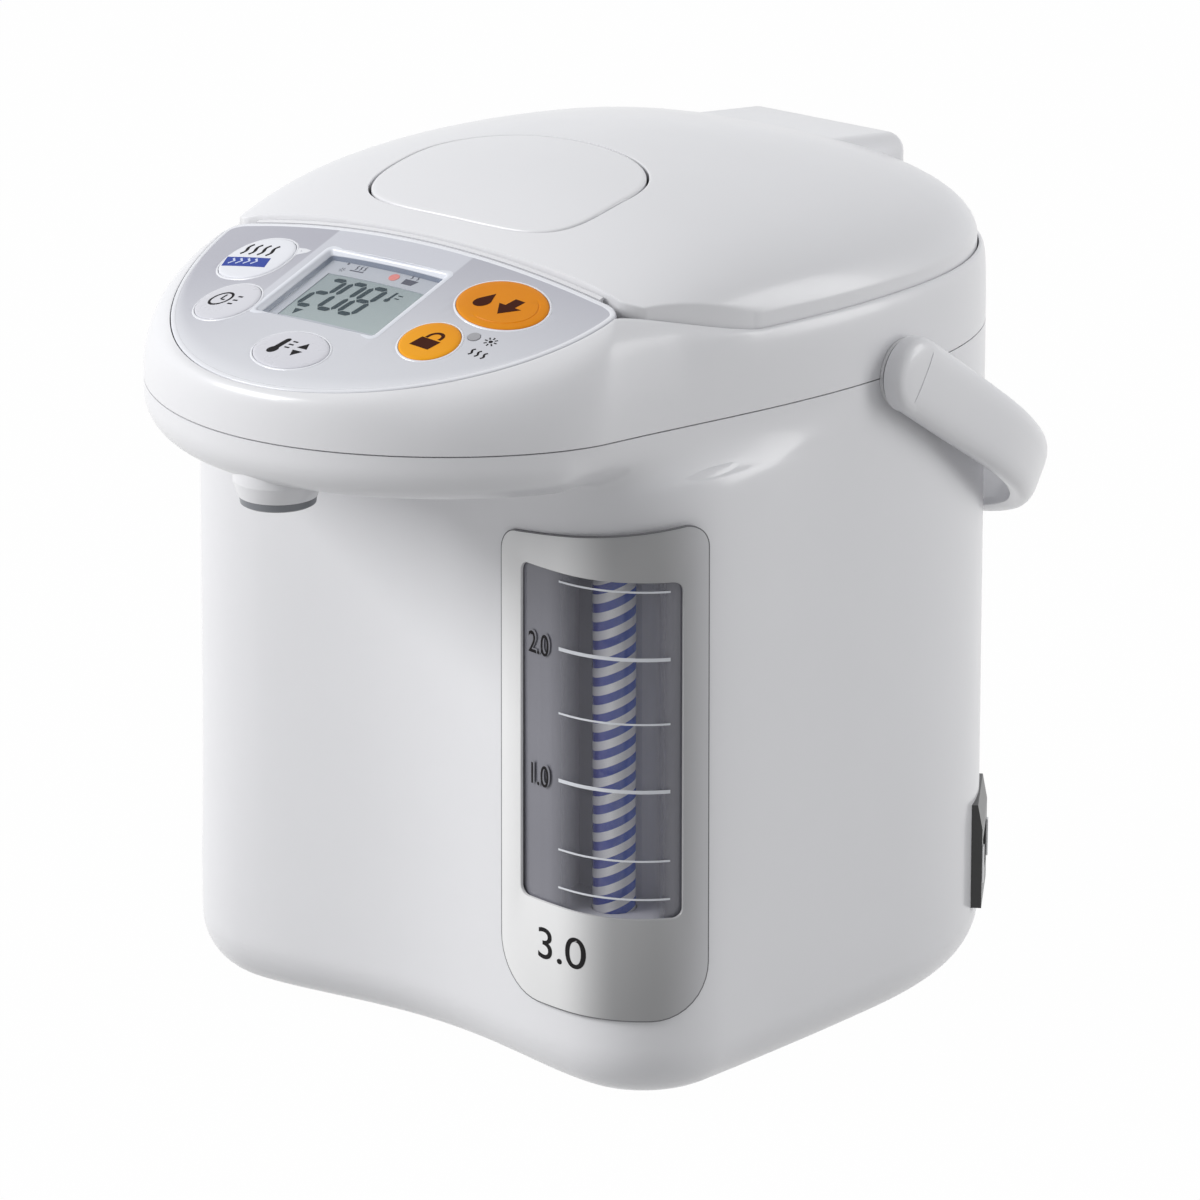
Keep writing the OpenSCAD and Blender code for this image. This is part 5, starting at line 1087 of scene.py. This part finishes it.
def wall_strip(name, s0, s1, z0, z1, off, thick, count=16):
    """A thin strip along the wall, between two distances and two heights."""
    run = np.linspace(s0, s1, count)
    rings = [on_wall(run, z, off + h) for z, h in ((z0, 0), (z1, 0), (z1, thick), (z0, thick))]
    points = np.vstack(rings)
    faces = [[r * count + i, ((r + 1) % 4) * count + i, ((r + 1) % 4) * count + i + 1, r * count + i + 1]
             for r in range(4) for i in range(count - 1)]
    ends = [[0, 3 * count, 2 * count, count], [r * count + count - 1 for r in range(4)]]
    return grid_mesh(name, points, faces + ends, 40)


def wall_number(name, words, s, z, tall, off, narrow=0.8):
    """A number standing on the wall, its left foot at s, z."""
    letters = bpy.data.curves.new(name, "FONT")
    letters.body, letters.size, letters.extrude = words, tall / 0.7, 0.04   # a figure is 0.7 of its size
    mesh = flat_mesh(name, letters)
    p = np.array([v.co for v in mesh.vertices])
    points = on_wall(s + p[:, 0] * narrow, z + p[:, 1], off + p[:, 2])
    return grid_mesh(name, points, [list(f.vertices) for f in mesh.polygons], 40)


print_off, number_tall, mark_left, mark_right = 0.28, 6.6, 64.5, 99.5
white_ink = moulded("white_ink", (0.70, 0.72, 0.76), 0.4, 0.1)
number_painted_shadow = moulded("number_painted_shadow", (0.19, 0.19, 0.215), 0.4, 0.1)
marks = [wall_strip("gauge_marks", mark_left, mark_right, z - h, z + h, print_off, 0.05)
         for z, h in ((163.5, 0.3), (142.9, 0.55), (123.1, 0.3), (102.3, 0.55), (80.8, 0.3), (68.9, 0.3))]
fit(join(*marks), white_ink, "root", "white_plastic")
# Each number has a painted shadow: a dark copy a little up, right and behind it, for its shadow on the back
# plate
for words, z in (("2.0", 139.2), ("1.0", 98.6)):
    for name, paint, s, up, off in (("gauge_number_", dark_ink, 51.3, 0, print_off),
                                    ("gauge_shadow_", number_painted_shadow, 51.9, 0.5, print_off - 0.06)):
        number = wall_number(name + words[0], words, s, z + up, number_tall, off)
        fit(number, paint, "root", "black_plastic")
litres = wall_number("frame_number", "3.0", 56.0, 45.3, 9.8, seat + frame_t + 0.04, 1.15)
fit(litres, dark_ink, "root", "black_plastic")


# ---- window, tube, strip, back plate, display glass and slow light keep their CAD solids ----
# Clear pieces are tinted sheet; the window's ends are painted light, near-opaque grey for the lit back plate
# behind.
# The strip is printed with slanting blue bars; the full tube in front of it works as a lens, so its whole width
# shows the bars, painted on the tube.
def refinish(finish, *names):
    for name in names:
        nodes[name].data.materials.clear()
        nodes[name].data.materials.append(finish.material)


smoke_tint_and_painted_light = Finish("smoke_tint_and_painted_light", (0.25, 0.25, 0.28), Roughness=0.06, IOR=1.45, Coat_Weight=0.1)
spot, x, y = smoke_tint_and_painted_light.place()[:3]
# Painted light: the window is near-opaque grey at both ends, for the lit back plate seen through it
clear = (x + y).ramp(-20, -6) * (1 - (x + y).ramp(22, 32))
cloud = smoke_tint_and_painted_light.noise(spot, 0.02, 2.0)
smoke_tint_and_painted_light.feed(Base_Color=smoke_tint_and_painted_light.blend(cloud, (0.23, 0.23, 0.265), (0.27, 0.27, 0.305)),
                Alpha=0.88 - clear * 0.78)
display_tint = Finish("display_tint", (0.55, 0.60, 0.66), Roughness=0.05, IOR=1.3, Alpha=0.05)
display_tint.feed(Roughness=display_tint.noise(display_tint.place()[0], 0.1, 2.0) * 0.05 + 0.03)


bar_pitch, bar_slant = 5.67, 0.42


def barred(finish):
    """Slanting blue bars on a pale ground, printed round the strip, painted on the tube, with painted shade at
    the left.
    """
    spot, x, y, z = finish.place()
    across = x * 0.78 + y * 0.63
    bars = abs(((z - across * bar_slant) / bar_pitch % 1.0) - 0.5)
    # Painted shade: bars and ground are darker towards the left
    blue = finish.blend(across.ramp(10, 27), (0.045, 0.055, 0.28), (0.07, 0.16, 0.66))
    pale = finish.blend(across.ramp(12, 16), (0.55, 0.55, 0.60), (0.88, 0.88, 0.90))
    soft = finish.noise(spot, 0.05, 2.0)
    print_colour = finish.blend(bars.ramp(0.235, 0.265), blue, pale)
    return finish.feed(Base_Color=print_colour, Roughness=soft * 0.05 + 0.08)


tube_glass = barred(Finish("tube_glass", (0.5, 0.5, 0.6), IOR=1.45, Coat_Weight=0.3))
bar_sheet = barred(Finish("bar_sheet", (0.5, 0.5, 0.6), IOR=1.45))
back_grey = moulded("back_grey", (0.62, 0.62, 0.67), 0.5, 0, 0.3)
soft_rubber = moulded("soft_rubber", (0.06, 0.06, 0.06), 0.7, 0, 0.5, 0.1)
silicone = moulded("silicone", (0.60, 0.60, 0.58), 0.55, 0, 0.3, 0.04)
lamp_grey = moulded("lamp_grey", (0.36, 0.36, 0.38), 0.35, 0.2)
refinish(smoke_tint_and_painted_light, "gauge_window")
refinish(display_tint, "lcd_lens")
refinish(tube_glass, "gauge_tube")
refinish(bar_sheet, "gauge_stripes")
refinish(back_grey, "gauge_backplate")
refinish(soft_rubber, "gauge_joints", "rubber_feet")
refinish(silicone, "lid_gasket", "dome_sheet")
refinish(lamp_grey, "slow_light")
refinish(glass_green, "lcd_module")


# ---- the rest of the pot keeps its CAD solids, each with its own finish ----
# Container, heater and pump sit inside; steel is drawn or turned, zinc is cast, boards are coated.
def metal(name, colour, rough, streaks, grain=0.2):
    """Bare metal with uneven gloss; streaks stretches its grain round the pot."""
    finish = Finish(name, colour, Metallic=1.0, Roughness=rough)
    drawn = finish.node("ShaderNodeVectorMath", {"operation": "MULTIPLY"},
                        i0=finish.place()[0], i1=(0.05, 0.05, streaks))
    lines = finish.noise(drawn, 1.2, 4.0)
    finish.feed(Roughness=lines * 0.2 + (rough - 0.1),
                Base_Color=finish.blend(lines, tuple(c * 0.88 for c in colour), colour))
    return finish.bump(lines, grain, 0.00002)


steel = metal("drawn_steel", (0.62, 0.62, 0.63), 0.3, 2.0)
cast_zinc = metal("cast_zinc", (0.55, 0.56, 0.58), 0.45, 0.05, 0.4)
pin_brass = metal("pin_brass", (0.70, 0.52, 0.22), 0.3, 1.0)
rotor_iron = metal("rotor_iron", (0.32, 0.20, 0.12), 0.4, 3.0)
board_green = moulded("board_green", (0.02, 0.13, 0.06), 0.35, 0.3, 0.3, 0.15)
jack_black = moulded("jack_black", (0.012, 0.012, 0.013), 0.35, 0.1, 0.3, 0.1)
ring_grey = moulded("ring_grey", (0.20, 0.21, 0.23), 0.4, 0.1)
refinish(steel, "base_screws", "inner_container", "rim_packing", "valve_ball", "lever_pin", "hinge_bracket",
         "hinge_pin", "magnet_plate", "heat_shield", "motor_case")
refinish(cast_zinc, "heater_plate")
refinish(pin_brass, "receptacle_pins", "thermistor", "thermal_fuse")
refinish(rotor_iron, "motor_rotor")
refinish(board_green, "control_board", "power_board")
refinish(jack_black, "plug_receptacle")
refinish(ring_grey, "nozzle_ring")
refinish(soft_rubber, "suction_pipe")
refinish(pale_satin, "bottom_plate", "chassis", "mouth_collar", "pump_housing", "pump_impeller", "riser_pipe",
         "delivery_pipe", "tip_valve", "lid_liner", "steam_cap", "lever_cup", "latch_hooks", "handle_pivots")
refinish(white_gloss, "nozzle", "key_deck")
